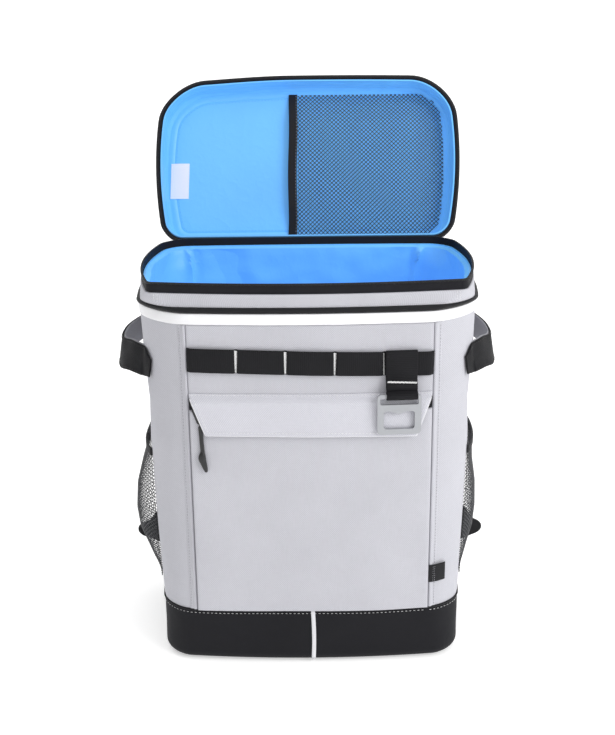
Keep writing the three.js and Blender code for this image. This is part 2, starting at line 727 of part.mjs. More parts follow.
function frontPocket() {
  const onPanel = (bottom, top, outer) =>
    frontSheet({
      heights: levels(bottom, top),
      left: same(GAP - PANEL_HALF_WIDTH),
      right: same(PANEL_HALF_WIDTH - GAP),
      inner: same(PANEL_FACE + GAP),
      outer: same(outer),
    });
  const halfWidth = (z) => {
    const drop = Math.max(0, FLAP_TOP - FLAP_SEAM - z);
    return PANEL_HALF_WIDTH - GAP - (FLAP_SLANT * drop) / (FLAP_HEIGHT - FLAP_SEAM);
  };
  const flap = frontSheet({
    heights: FLAP_ROWS.map((row) => FLAP_TOP - row.drop * FLAP_HEIGHT).toReversed(),
    left: (z) => -halfWidth(z),
    right: halfWidth,
    inner: flapInner,
    outer: (z) => flapInner(z) + FLAP_THICK,
  });
  return [
    piece("pocket_zipper", onPanel(ZIP_BOTTOM, ZIP_TOP, ZIP_FACE), "black"),
    piece("pocket_panel", onPanel(WALL_BOTTOM, ZIP_BOTTOM - GAP, POCKET_FACE), "cloth"),
    piece("pocket_flap", flap, "cloth"),
  ];
}

function zipPull() {
  const middle = ZIP_TOP - ZIP_HEIGHT / 2;
  const top = middle - SLIDER_HEIGHT / 2 - GAP;
  const slider = frontSheet({
    heights: [middle - SLIDER_HEIGHT / 2, middle + SLIDER_HEIGHT / 2],
    left: same(SLIDER_X - SLIDER_LENGTH / 2),
    right: same(SLIDER_X + SLIDER_LENGTH / 2),
    inner: same(ZIP_FACE + GAP),
    outer: same(ZIP_FACE + GAP + SLIDER_THICK),
    steps: shares(1),
  });
  const place = (side) => (u, v) => {
    const row = PULL_ROWS[Math.round(v * (PULL_ROWS.length - 1))];
    const x = SLIDER_X + PULL_SWAY * (1 - row.height) + (u - 0.5) * row.width * PULL_WIDTH;
    const z = top - PULL_LENGTH * (1 - row.height);
    return frontPoint(x, z, POCKET_FACE + GAP + side * row.thick * PULL_THICK);
  };
  const pull = sheet(shares(2), shares(PULL_ROWS.length - 1), place(0), place(1));
  return [piece("zip_slider", slider, "plastic"), piece("zip_pull", pull, "black")];
}

function labelTab() {
  const start = PANEL_HALF_WIDTH + GAP;
  const place = (side) => (u, v) => {
    const x = start + u * TAB_WIDTH;
    return frontPoint(x, TAB_BOTTOM + v * TAB_HEIGHT, SEAM_THICK + GAP + side * TAB_THICK);
  };
  return piece("label_tab", sheet(shares(3), [0, 1], place(0), place(1)), "black");
}

// The middle of the opener's bar, turned to lie along the bowed front.
function openerFrame() {
  const half = new THREE.Vector3(OPENER_WIDTH / 2, 0, 0);
  const left = frontPoint(OPENER_X - half.x, PIVOT_HEIGHT, 0);
  const right = frontPoint(OPENER_X + half.x, PIVOT_HEIGHT, 0);
  const made = new THREE.Group();
  made.name = "hanger";
  made.rotation.z = Math.atan2(right.y - left.y, right.x - left.x);
  const out = new THREE.Vector3(0, -PIVOT_OUT, 0).applyEuler(made.rotation);
  made.position.copy(frontPoint(OPENER_X, PIVOT_HEIGHT, 0)).add(out);
  return made;
}

// The loop, drawn from the side and made solid along x: around the ladder webbing above, sewn
// together below it, and around the opener's bar at the bottom.
function openerLoop() {
  const hole = Math.hypot(OPENER_BAR, OPENER_THICK) / 2 + LOOP_CLEARANCE;
  const webbingBack = PANEL_FACE + GAP + WEBBING_LIFT;
  const back = webbingBack - LOOP_CLEARANCE;
  const front = webbingBack + WEBBING_THICK + LOOP_CLEARANCE;
  const top = WEBBING_MIDDLE + WEBBING_WIDTH / 2 + LOOP_CLEARANCE;
  const at = (out, height) => new THREE.Vector2(PIVOT_OUT - out, height - PIVOT_HEIGHT);
  const behind = [
    at(back - LOOP_THICK, top + LOOP_THICK),
    at(back - LOOP_THICK, NECK_TOP + LOOP_THICK),
    at(PIVOT_OUT - hole, NECK_BOTTOM - LOOP_THICK),
  ];
  const ahead = [
    at(PIVOT_OUT - hole + 2 * LOOP_THICK, NECK_BOTTOM),
    at(front + LOOP_THICK, NECK_TOP),
    at(front + LOOP_THICK, top + LOOP_THICK),
  ];
  const shape = new THREE.Shape();
  shape.setFromPoints(behind);
  shape.absarc(0, 0, hole + LOOP_THICK, Math.PI / 6, -Math.PI, true);
  ahead.forEach((point) => shape.lineTo(point.x, point.y));
  shape.closePath();
  const around = new THREE.Path([
    at(back, top),
    at(front, top),
    at(front, NECK_TOP + LOOP_THICK),
    at(back, NECK_TOP + 2 * LOOP_THICK),
  ]);
  const bar = new THREE.Path();
  bar.absarc(0, 0, hole, 0, 2 * Math.PI);
  shape.holes.push(around, bar);
  const solid = extruded(shape, LOOP_WIDTH, 6).rotateX(Math.PI / 2).rotateZ(Math.PI / 2);
  return piece("opener_loop", solid.translate(LOOP_SHIFT - LOOP_WIDTH / 2, 0, 0), "black");
}

function bottleOpener() {
  const shape = roundedRectangle(OPENER_WIDTH, OPENER_HEIGHT, OPENER_CORNER);
  const slotMiddle = OPENER_HEIGHT / 2 - OPENER_BAR - SLOT_HEIGHT / 2;
  const slotCorner = SLOT_HEIGHT / 4;
  shape.holes.push(roundedRectangle(SLOT_WIDTH, SLOT_HEIGHT, slotCorner, slotMiddle, new THREE.Path()));
  const low = WINDOW_SILL + WINDOW_CORNER - OPENER_HEIGHT / 2;
  const high = low + WINDOW_HEIGHT - 2 * WINDOW_CORNER;
  const head = high + WINDOW_CORNER;
  const side = WINDOW_WIDTH / 2 - WINDOW_CORNER;
  const quarter = Math.PI / 2;
  const window = new THREE.Path();
  window.absarc(-side, low, WINDOW_CORNER, 2 * quarter, 3 * quarter);
  window.absarc(side, low, WINDOW_CORNER, 3 * quarter, 4 * quarter);
  window.absarc(side, high, WINDOW_CORNER, 0, quarter);
  window.lineTo(LIP_WIDTH / 2, head);
  window.quadraticCurveTo(0, head - 2 * LIP_DEPTH, -LIP_WIDTH / 2, head);
  window.absarc(-side, high, WINDOW_CORNER, quarter, 2 * quarter);
  window.closePath();
  shape.holes.push(window);
  const solid = plate(shape, -OPENER_THICK / 2, OPENER_THICK);
  return piece("bottle_opener", solid.translate(0, 0, OPENER_BAR / 2 - OPENER_HEIGHT / 2), "metal");
}

// A right-hand side handle, as the strip between two distances from its middle line.
function handleStrip(bulge, inner, outer) {
  const points = HANDLE_ROWS.map(({ along, out, down }) => {
    const y = HANDLE_FRONT + along * HANDLE_LENGTH;
    const z = HANDLE_MIDDLE - down * HANDLE_SAG + along * HANDLE_RISE;
    return sidePoint(y, z, 0).add(new THREE.Vector3(out * bulge, 0, 0));
  });
  const top = sidePoint(HANDLE_FRONT, HANDLE_MIDDLE + HANDLE_HEIGHT / 2, 0);
  const across = sidePoint(HANDLE_FRONT, HANDLE_MIDDLE - HANDLE_HEIGHT / 2, 0).sub(top).normalize();
  return ribbon({ points, across, width: same(HANDLE_HEIGHT), inner, outer });
}

function handles() {
  const webbing = (bulge) => handleStrip(bulge, HANDLE_FACE, HANDLE_FACE + HANDLE_THICK);
  const lining = (bulge) => handleStrip(bulge, GAP, GAP + HANDLE_LINING);
  return [
    piece("handle_right", webbing(HANDLE_BULGE_RIGHT), "black"),
    piece("handle_left", mirrored(webbing(HANDLE_BULGE_LEFT)), "black"),
    piece("handle_lining_right", lining(HANDLE_BULGE_RIGHT), "lining"),
    piece("handle_lining_left", mirrored(lining(HANDLE_BULGE_LEFT)), "lining"),
  ];
}

// A right-hand net pocket and the binding of its mouth.
function sideNet(bulge) {
  const rows = [...NET_ROWS, { height: 1, out: NET_MOUTH / bulge }];
  const place = (bottom, top, extra) => (u, v) => {
    const y = mix(-NET_HALF_SPAN, NET_HALF_SPAN, u);
    const z = mix(bottom, top, v);
    const height = Math.min(1, (z - NET_BOTTOM) / (NET_TOP - NET_BOTTOM));
    const standOff = bulge * read(rows, "height", height, "out");
    const span = 1 - Math.abs(y / NET_HALF_SPAN) ** 2.6;
    return sidePoint(y, z, GAP + standOff * span + extra);
  };
  const netPlace = (extra) => place(NET_BOTTOM, NET_TOP, extra);
  const bindingPlace = (extra) => place(NET_TOP + GAP, NET_TOP + GAP + NET_BINDING, extra);
  const heights = NET_ROWS.map((row) => row.height).concat(1);
  const net = sheet(NET_STEPS, heights, netPlace(0), netPlace(NET_THICK));
  const binding = sheet(NET_STEPS, [0, 1], bindingPlace(0), bindingPlace(NET_BINDING_THICK));
  const gaps = diamonds({
    left: NET_STRAND - NET_HALF_SPAN,
    right: NET_HALF_SPAN - NET_STRAND,
    bottom: NET_BOTTOM + NET_STRAND,
    top: NET_TOP - NET_STRAND / 2,
    cell: NET_CELL,
    inside: same(true),
  });
  return [cut(net, gaps.map((gap) => gap.rotateZ(Math.PI / 2))), binding];
}

function sideNets() {
  const [netRight, bindingRight] = sideNet(NET_BULGE_RIGHT);
  const [netLeft, bindingLeft] = sideNet(NET_BULGE_LEFT).map(mirrored);
  return [
    piece("net_right", netRight, "net"),
    piece("net_left", netLeft, "net"),
    piece("net_binding_right", bindingRight, "black"),
    piece("net_binding_left", bindingLeft, "black"),
  ];
}

// A point of the right-hand shoulder strap's middle line.
function strapPoint({ across, out, height }) {
  const away = BACK_FACE + GAP + STRAP_THICK / 2 + out * STRAP_STAND_OFF;
  return backPoint(across * STRAP_SPREAD, height * BODY_HEIGHT, 0).add(new THREE.Vector3(0, away, 0));
}

function shoulderStrap() {
  const curve = new THREE.CatmullRomCurve3(STRAP_ROWS.map(strapPoint));
  const rows = STRAP_ROWS.map((row, i) => ({ ...row, along: i / (STRAP_ROWS.length - 1) }));
  const points = curve.getPoints(2 * (rows.length - 1));
  const width = (v) => STRAP_WIDTH * read(rows, "along", v, "width");
  const across = new THREE.Vector3(-1, 0, 0);
  return ribbon({ points, across, width, inner: -STRAP_THICK / 2, outer: STRAP_THICK / 2 });
}

// Webbing from the wing's tip, up behind the buckle's bars, to the lower end of the strap.
function strapWebbing() {
  const end = strapPoint(STRAP_ROWS[0]);
  const half = STRAP_WEBBING_THICK / 2;
  const away = WING_Y + WING_THICK + GAP + half;
  const slack = STRAP_THICK / 6;
  const tip = new THREE.Vector3(WING_REACH - STRAP_WEBBING_WIDTH, away, WING_BOTTOM + WING_HEIGHT / 2);
  const points = [
    tip.clone().setY(away + slack),
    tip.clone().lerp(end, 0.35).setY(away + 4 * slack),
    new THREE.Vector3(end.x, end.y, end.z - BUCKLE_DROP - BUCKLE_HEIGHT),
    new THREE.Vector3(end.x, end.y, end.z - BUCKLE_DROP - BUCKLE_HEIGHT / 2),
    new THREE.Vector3(end.x, end.y, end.z - STRAP_THICK / 2),
  ];
  const across = new THREE.Vector3(-1, 0, 0);
  return ribbon({ points, across, width: same(STRAP_WEBBING_WIDTH), inner: -half, outer: half });
}

// A flat buckle with two windows. The webbing lies on its inner side.
function strapBuckle() {
  const shape = roundedRectangle(BUCKLE_WIDTH, BUCKLE_HEIGHT, BUCKLE_CORNER);
  const side = BUCKLE_WIDTH / 2 - BUCKLE_BAR;
  const top = BUCKLE_HEIGHT / 2 - BUCKLE_BAR;
  const windows = [
    { x: side, low: BUCKLE_BAR / 2, high: top },
    { x: side - GAP, low: -top, high: -BUCKLE_BAR / 2 },
  ];
  for (const { x, low, high } of windows) {
    const corners = [[-x, low], [x, low], [x, high], [-x, high]];
    shape.holes.push(new THREE.Path(corners.map((corner) => new THREE.Vector2(...corner))));
  }
  const end = strapPoint(STRAP_ROWS[0]);
  const buckle = plate(shape, STRAP_WEBBING_THICK / 2 + GAP, BUCKLE_THICK);
  return buckle.translate(end.x, end.y, end.z - BUCKLE_DROP);
}

// A cloth wing that is sewn into the body's rear corner and points outwards.
function strapWing() {
  const root = (z) => sidePoint(WING_Y, z, GAP).x;
  const top = WING_BOTTOM + WING_HEIGHT;
  const tip = WING_BOTTOM + WING_HEIGHT / 2;
  const blunt = WING_HEIGHT / 6;
  const shape = new THREE.Shape();
  shape.moveTo(root(WING_BOTTOM), WING_BOTTOM);
  shape.lineTo(WING_REACH - blunt, tip - blunt);
  shape.quadraticCurveTo(WING_REACH, tip, WING_REACH - blunt, tip + blunt);
  shape.lineTo(root(top), top);
  shape.closePath();
  return plate(shape, WING_Y, WING_THICK);
}

function back() {
  const heights = levels(BACK_PANEL_BOTTOM, BACK_PANEL_TOP);
  const panel = backSheet(BACK_PANEL_HALF_WIDTH, heights, GAP, BACK_FACE);
  const tapeTop = HINGE_Z - HINGE_TAPE_DROP;
  const tapeOutside = GAP + HINGE_TAPE_THICK;
  const tape = backSheet(HINGE_WIDTH / 2, [tapeTop - HINGE_TAPE_HEIGHT, tapeTop], GAP, tapeOutside);
  const pairs = {
    strap: [shoulderStrap(), "cloth"],
    strap_webbing: [strapWebbing(), "black"],
    strap_buckle: [strapBuckle(), "plastic"],
    strap_wing: [strapWing(), "black"],
  };
  const sides = Object.entries(pairs).flatMap(([name, [solid, finish]]) => [
    piece(`${name}_right`, solid, finish),
    piece(`${name}_left`, mirrored(solid), finish),
  ]);
  return [piece("back_panel", panel, "cloth"), piece("hinge_tape", tape, "black"), ...sides];
}

// A ring of the lid at a depth behind its edge. Its taper leaves the hinge side where it is.
function lidRing(depth, inset, taper) {
  const plan = {
    halfWidth: LID_WIDTH / 2 - taper,
    halfDepth: LID_HEIGHT / 2 - taper / 2,
    corner: LID_HINGE_CORNER,
    farCorner: LID_CORNER,
    front: 0,
    back: LID_TOP_BOW,
    side: LID_SIDE_BOW,
  };
  return outline(plan, -inset).map(([x, y]) => new THREE.Vector3(x, depth, y + plan.halfDepth));
}

// Rings of the lid's tray from its floor to an edge, inset by a thickness.
function trayRings(inset, edge) {
  const rows = LID_ROWS.filter((row) => row.depth * LID_DEPTH > edge + 1).toReversed();
  const rings = rows.map((row) => lidRing(row.depth * (LID_DEPTH - inset), inset, row.inset * LID_TAPER));
  return [...rings, lidRing(edge, inset, 0)];
}

function lidShell() {
  const edge = LID_TAPE_DEPTH + GAP;
  const shell = loft([...trayRings(0, edge), ...trayRings(LID_WALL, edge).toReversed()]);
  const outside = LID_WALL + GAP;
  const liner = loft([...trayRings(outside, GAP), ...trayRings(outside + LINING, GAP).toReversed()]);
  const tape = tyre([
    lidRing(LID_TAPE_DEPTH, 0, 0),
    lidRing(0, 0, 0),
    lidRing(0, LID_TAPE_THICK, 0),
    lidRing(LID_TAPE_DEPTH, LID_TAPE_THICK, 0),
  ]);
  return [
    piece("lid_shell", shell, "cloth"),
    piece("lid_liner", liner, "blue"),
    piece("lid_zipper", tape, "black"),
  ];
}

// The net is sewn down at its right, bottom and top, and stands off along its mouth on the left.
function lidPocket() {
  const mouth = LID_NET_MOUTH / LID_NET_BULGE;
  const rowsUp = [0, 0.04, 0.2, 0.5, 0.8, 0.88, 0.95, 1];
  const standOff = (x, z) => {
    const across = Math.max(0, (x - LID_NET_LEFT) / (LID_NET_RIGHT - LID_NET_LEFT));
    const up = (z - LID_NET_BOTTOM) / (LID_NET_TOP - LID_NET_BOTTOM);
    const crown = Math.min(1, 5 * up, 5 * (1 - up));
    return GAP + LID_NET_BULGE * crown * Math.min(mix(mouth, 1, across), 4 * (1 - across));
  };
  const fallsShort = (past, radius) => radius - Math.sqrt(radius ** 2 - Math.max(0, past) ** 2);
  const rightAt = (z) => {
    const bow = LID_SIDE_BOW * ((2 * z) / LID_HEIGHT - 1) ** 2;
    const upper = fallsShort(z + LID_NET_CORNER - LID_NET_TOP, LID_NET_CORNER);
    const lower = fallsShort(LID_NET_BOTTOM + LID_HINGE_CORNER - z, LID_HINGE_CORNER);
    return LID_NET_RIGHT - bow - upper - lower;
  };
  const place = (left, right, extra) => (u, v) => {
    const z = mix(LID_NET_BOTTOM, LID_NET_TOP, v);
    const x = mix(left, right(z), u);
    return new THREE.Vector3(x, LID_FLOOR - standOff(x, z) - extra, z);
  };
  const netPlace = (extra) => place(LID_NET_LEFT, rightAt, extra);
  const net = sheet([0, 0.35, 0.75, 1], rowsUp, netPlace(0), netPlace(NET_THICK));
  const gaps = diamonds({
    left: LID_NET_LEFT + NET_STRAND,
    right: LID_NET_RIGHT - NET_STRAND,
    bottom: LID_NET_BOTTOM + NET_STRAND,
    top: LID_NET_TOP - NET_STRAND,
    cell: LID_NET_CELL,
    inside: (x, z) => x + LID_NET_CELL / 2 < rightAt(z + LID_NET_CELL / 2),
  });
  const end = LID_NET_LEFT - GAP;
  const bindingPlace = (extra) => place(end - LID_BINDING_WIDTH, same(end), extra);
  const binding = sheet([0, 1], rowsUp, bindingPlace(0), bindingPlace(LID_BINDING_THICK));
  return [piece("lid_net", cut(net, gaps), "net"), piece("lid_net_binding", binding, "black")];
}

function careTag() {
  const tag = new THREE.BoxGeometry(TAG_WIDTH, TAG_THICK, TAG_HEIGHT);
  const depth = LID_FLOOR - GAP - TAG_THICK / 2;
  tag.translate(TAG_LEFT + TAG_WIDTH / 2, depth, TAG_BOTTOM + TAG_HEIGHT / 2);
  return piece("care_tag", tag, "paper");
}

function lid() {
  const made = new THREE.Group();
  made.name = "lid";
  made.position.set(0, HINGE_Y, HINGE_Z);
  made.rotation.x = -radians(LID_LEAN);
  made.add(...lidShell(), ...lidPocket(), careTag());
  return made;
}

const bag = new THREE.Group();
bag.name = "bag";
bag.add(baseBoot(), footPiping(), bodyShell(), innerLiner(), ...rimPieces());
bag.add(...frontPanel(), daisyChain(), ...frontPocket(), ...zipPull(), labelTab());
bag.add(...handles(), ...sideNets(), ...back(), lid());
const hanger = openerFrame();
hanger.add(openerLoop(), bottleOpener());
bag.add(hanger);

export default bag;
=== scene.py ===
"""The looks of a soft cooler backpack that stands on its base with its lid open.

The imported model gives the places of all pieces. Sizes here are in millimetres, in the model's
frame: +Z up, -Y towards the front, the origin in the middle of the base on the floor. Meshes are
made in metres.
"""

import logging  # noqa: E402
import math  # noqa: E402
from dataclasses import dataclass  # noqa: E402
from enum import Enum  # noqa: E402
from typing import Callable, Sequence  # noqa: E402

import bpy  # noqa: E402
import numpy as np  # noqa: E402
from mathutils import Matrix, Vector  # noqa: E402

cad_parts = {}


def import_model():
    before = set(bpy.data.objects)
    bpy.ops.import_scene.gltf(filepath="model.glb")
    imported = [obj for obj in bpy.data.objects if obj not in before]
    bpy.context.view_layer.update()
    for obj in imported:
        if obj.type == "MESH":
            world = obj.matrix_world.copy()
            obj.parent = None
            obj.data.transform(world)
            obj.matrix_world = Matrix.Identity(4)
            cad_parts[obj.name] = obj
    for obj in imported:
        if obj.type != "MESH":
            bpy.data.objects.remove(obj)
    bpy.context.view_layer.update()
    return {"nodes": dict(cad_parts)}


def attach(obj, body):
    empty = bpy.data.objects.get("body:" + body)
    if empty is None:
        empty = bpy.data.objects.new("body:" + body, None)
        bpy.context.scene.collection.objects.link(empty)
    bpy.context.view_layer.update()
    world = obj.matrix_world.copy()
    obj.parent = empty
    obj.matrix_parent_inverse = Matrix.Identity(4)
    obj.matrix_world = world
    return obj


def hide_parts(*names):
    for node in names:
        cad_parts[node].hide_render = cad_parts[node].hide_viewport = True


log = logging.getLogger("cooler_backpack")

MM = 0.001
PHOTO_HEIGHT = 735
BAG = "bag"
Array = np.ndarray
FORWARDS = np.array([0.0, -1.0, 0.0])
BACKWARDS = -FORWARDS
UPWARDS = np.array([0.0, 0.0, 1.0])


def mix(low: float, high: float, share: float) -> float:
    """Returns the value at a share of the way from low to high."""
    return low + (high - low) * share


def linear(red: int, green: int, blue: int) -> tuple[float, float, float, float]:
    """Turns a screen colour of 0 to 255 into the linear colour that shaders use."""

    def one(value: int) -> float:
        share = value / 255
        return share / 12.92 if share <= 0.04045 else ((share + 0.055) / 1.055) ** 2.4

    return one(red), one(green), one(blue), 1.0


def unit(vectors: Array) -> Array:
    """Returns vectors of length one along the last axis."""
    return vectors / np.maximum(np.linalg.norm(vectors, axis=-1, keepdims=True), 1e-9)


def soft_noise(points: Array, scale: float, seed: int = 0) -> Array:
    """Smooth noise from about -1 to 1 at points.

    Args:
        points: places in millimetres, with any shape whose last axis is 3.
        scale: size of the swells in millimetres.
        seed: number of the pattern, so that two pieces differ.

    Returns:
        One value for each point.
    """
    rng = np.random.default_rng(seed)
    count = 9
    ways = unit(rng.normal(size=(count, 3))) * rng.uniform(0.35, 1.0, (count, 1))
    starts = rng.uniform(0, 2 * math.pi, count)
    waves = np.sin(2 * math.pi * (points / scale) @ ways.T + starts)
    return np.clip(waves.sum(axis=-1) / math.sqrt(count) / 1.3, -1.2, 1.2)


def smooth_step(low: float, high: float, values: Array) -> Array:
    """Eases from 0 at low to 1 at high."""
    share = np.clip((values - low) / (high - low), 0, 1)
    return share * share * (3 - 2 * share)


# Shader trees written as expressions


class Channel:
    """A socket of a shader tree that takes part in arithmetic."""

    def __init__(self, tree: bpy.types.NodeTree, socket: bpy.types.NodeSocket) -> None:
        """Wraps an output socket of a tree."""
        self.tree = tree
        self.socket = socket

    def math(self, operation: str, *values: "Channel | float") -> "Channel":
        """Adds a Math node.

        Args:
            operation: the node's operation.
            values: its inputs in order.

        Returns:
            The node's output.
        """
        node = self.tree.nodes.new("ShaderNodeMath")
        node.operation = operation
        for slot, value in zip(node.inputs, values):
            if isinstance(value, Channel):
                self.tree.links.new(value.socket, slot)
            else:
                slot.default_value = value
        return Channel(self.tree, node.outputs[0])

    def __add__(self, other: "Channel | float") -> "Channel":
        """Adds."""
        return self.math("ADD", self, other)

    __radd__ = __add__

    def __mul__(self, other: "Channel | float") -> "Channel":
        """Multiplies."""
        return self.math("MULTIPLY", self, other)

    __rmul__ = __mul__

    def __sub__(self, other: "Channel | float") -> "Channel":
        """Subtracts other."""
        return self.math("SUBTRACT", self, other)

    def __rsub__(self, other: float) -> "Channel":
        """Subtracts from other."""
        return self.math("SUBTRACT", other, self)

    def __truediv__(self, other: "Channel | float") -> "Channel":
        """Divides by other."""
        return self.math("DIVIDE", self, other)

    def __abs__(self) -> "Channel":
        """Absolute value."""
        return self.math("ABSOLUTE", self)

    def __pow__(self, power: float) -> "Channel":
        """Raises to a power."""
        return self.math("POWER", self, power)

    def sine(self) -> "Channel":
        """Sine of an angle in radians."""
        return self.math("SINE", self)

    def clamp(self) -> "Channel":
        """Keeps the value between 0 and 1."""
        return self.math("MINIMUM", self.math("MAXIMUM", self, 0.0), 1.0)


class ShaderTree:
    """A material's node tree around one Principled shader."""

    def __init__(self, name: str) -> None:
        """Makes an empty material with its shader and output."""
        self.material = bpy.data.materials.new(name)
        self.material.use_nodes = True
        self.tree = self.material.node_tree
        self.tree.nodes.clear()
        self.shader = self.node("ShaderNodeBsdfPrincipled")
        self.output = self.node(
            "ShaderNodeOutputMaterial", {}, {"Surface": self.result(self.shader, "BSDF")}
        )

    def node(
        self,
        kind: str,
        settings: dict[str, object] | None = None,
        sockets: dict[str, object] | None = None,
    ) -> bpy.types.Node:
        """Adds a node.

        Args:
            kind: the node's type.
            settings: its settings, set first.
            sockets: values or links of its inputs, by name or number.

        Returns:
            The node.
        """
        made = self.tree.nodes.new(kind)
        for name, value in (settings or {}).items():
            setattr(made, name, value)
        for name, value in (sockets or {}).items():
            if isinstance(value, Channel):
                self.tree.links.new(value.socket, made.inputs[name])
            else:
                made.inputs[name].default_value = value
        return made

    def result(self, node: bpy.types.Node, output: str | int = 0) -> Channel:
        """Returns an output of a node."""
        return Channel(self.tree, node.outputs[output])

    def set(self, name: str, value: "Channel | float | tuple") -> None:
        """Sets or links an input of the Principled shader."""
        if isinstance(value, Channel):
            self.tree.links.new(value.socket, self.shader.inputs[name])
        else:
            self.shader.inputs[name].default_value = value

    def places(self) -> tuple[Channel, Channel, Channel]:
        """The surface's own place: across, along and up, in metres, from its UV map."""
        coordinates = self.node("ShaderNodeTexCoord")
        split = self.node(
            "ShaderNodeSeparateXYZ", {}, {0: self.result(coordinates, "UV")}
        )
        return self.result(split, 0), self.result(split, 1), self.result(split, 2)

    def swell(self, size: float, detail: float = 2.0, stretch: tuple = (1, 1, 1)) -> Channel:
        """Noise in the model's space.

        Args:
            size: size of its swells in millimetres.
            detail: how many finer layers it has.
            stretch: how many times as fast it runs along each axis.

        Returns:
            A value from 0 to 1.
        """
        coordinates = self.node("ShaderNodeTexCoord")
        mapping = self.node(
            "ShaderNodeMapping",
            {},
            {"Vector": self.result(coordinates, "Object"), "Scale": stretch},
        )
        made = self.node(
            "ShaderNodeTexNoise",
            {},
            {"Vector": self.result(mapping), "Scale": 1 / (size * MM), "Detail": detail},
        )
        return self.result(made, 0)

    def blend(self, share: Channel, low: tuple, high: tuple) -> Channel:
        """Blends two colours by a share from 0 to 1."""
        made = self.node(
            "ShaderNodeMix", {"data_type": "RGBA"}, {0: share, 6: low, 7: high}
        )
        return self.result(made, 2)

    def relief(self, height: Channel, depth: float) -> None:
        """Raises the surface by a height of 0 to 1 times a depth in millimetres."""
        made = self.node(
            "ShaderNodeBump", {}, {"Height": height, "Distance": depth * MM, "Strength": 1.0}
        )
        self.set("Normal", self.result(made))


@dataclass(frozen=True)
class Look:
    """What every finish has.

    Attributes:
        name: name of the material.
        colour: linear colour.
    """

    name: str
    colour: tuple[float, float, float, float]

    def tone(self, factor: float, more: float = 0.0) -> tuple[float, ...]:
        """Returns the colour times a factor, with some more of each part."""
        return tuple(factor * part + more for part in self.colour[:3]) + (1.0,)


@dataclass(frozen=True)
class WovenCloth(Look):
    """Woven cloth with a visible thread.

    Attributes:
        thread: distance of two threads in millimetres.
        depth: height of a thread in millimetres.
        contrast: how much darker the gaps between threads are.
        heather: how much the threads vary in colour.
        cloud: how much broad patches vary in colour.
        crinkle: height of the small folds in millimetres.
        roughness: middle roughness.
        sheen: weight of the cloth's sheen.
    """

    thread: float = 1.1
    depth: float = 0.16
    contrast: float = 0.24
    heather: float = 0.1
    cloud: float = 0.05
    crinkle: float = 0.25
    roughness: float = 0.85
    sheen: float = 0.05

    def make(self) -> bpy.types.Material:
        """Makes the material."""
        tree = ShaderTree(self.name)
        across, along, _ = tree.places()
        turn = math.pi / (self.thread * MM)
        weave = ((across * turn).sine() * (along * turn).sine()) * 0.5 + 0.5
        warp = tree.swell(1.2, 1, (2.5, 2.5, 0.12))
        weft = tree.swell(1.2, 1, (0.12, 0.12, 2.5))
        streaks = (warp + weft) * 0.5
        cloud = tree.swell(55, 2)
        shade = 1 - self.contrast * (1 - weave)
        shade = shade + (streaks - 0.5) * (2 * self.heather) + (cloud - 0.5) * (2 * self.cloud)
        dark = self.tone(0.02)
        tree.set("Base Color", tree.blend(shade.clamp(), dark, self.colour))
        tree.set("Roughness", (streaks * 0.16 + (self.roughness - 0.08)).clamp())
        tree.set("Sheen Weight", self.sheen)
        tree.set("Sheen Roughness", 0.5)
        tree.set("Specular IOR Level", 0.3)
        folds = tree.swell(16, 3)
        ratio = self.crinkle / self.depth
        tree.relief(weave + streaks * 0.5 + folds * ratio, self.depth)
        return tree.material


@dataclass(frozen=True)
class Webbing(Look):
    """Ribbed webbing, with its ribs across the strap.

    Attributes:
        rib: distance of two ribs in millimetres.
        pick: distance of two weft threads in millimetres.
        roughness: middle roughness.
    """

    rib: float = 1.9
    pick: float = 0.9
    roughness: float = 0.62

    def make(self) -> bpy.types.Material:
        """Makes the material."""
        tree = ShaderTree(self.name)
        width, along, _ = tree.places()
        ribs = abs((width * (math.pi / (self.rib * MM))).sine())
        picks = abs((along * (math.pi / (self.pick * MM)) + ribs * 1.2).sine())
        weave = ribs * 0.65 + picks * 0.35
        fuzz = tree.swell(0.7, 2)
        cloud = tree.swell(25, 1)
        shade = (weave * 0.55 + fuzz * 0.3 + cloud * 0.3).clamp()
        dark = self.tone(0.3)
        light = self.tone(1.35)
        tree.set("Base Color", tree.blend(shade, dark, light))
        tree.set("Roughness", (fuzz * 0.2 + (self.roughness - 0.1)).clamp())
        tree.set("Specular IOR Level", 0.18)
        tree.relief(weave, 0.35)
        return tree.material


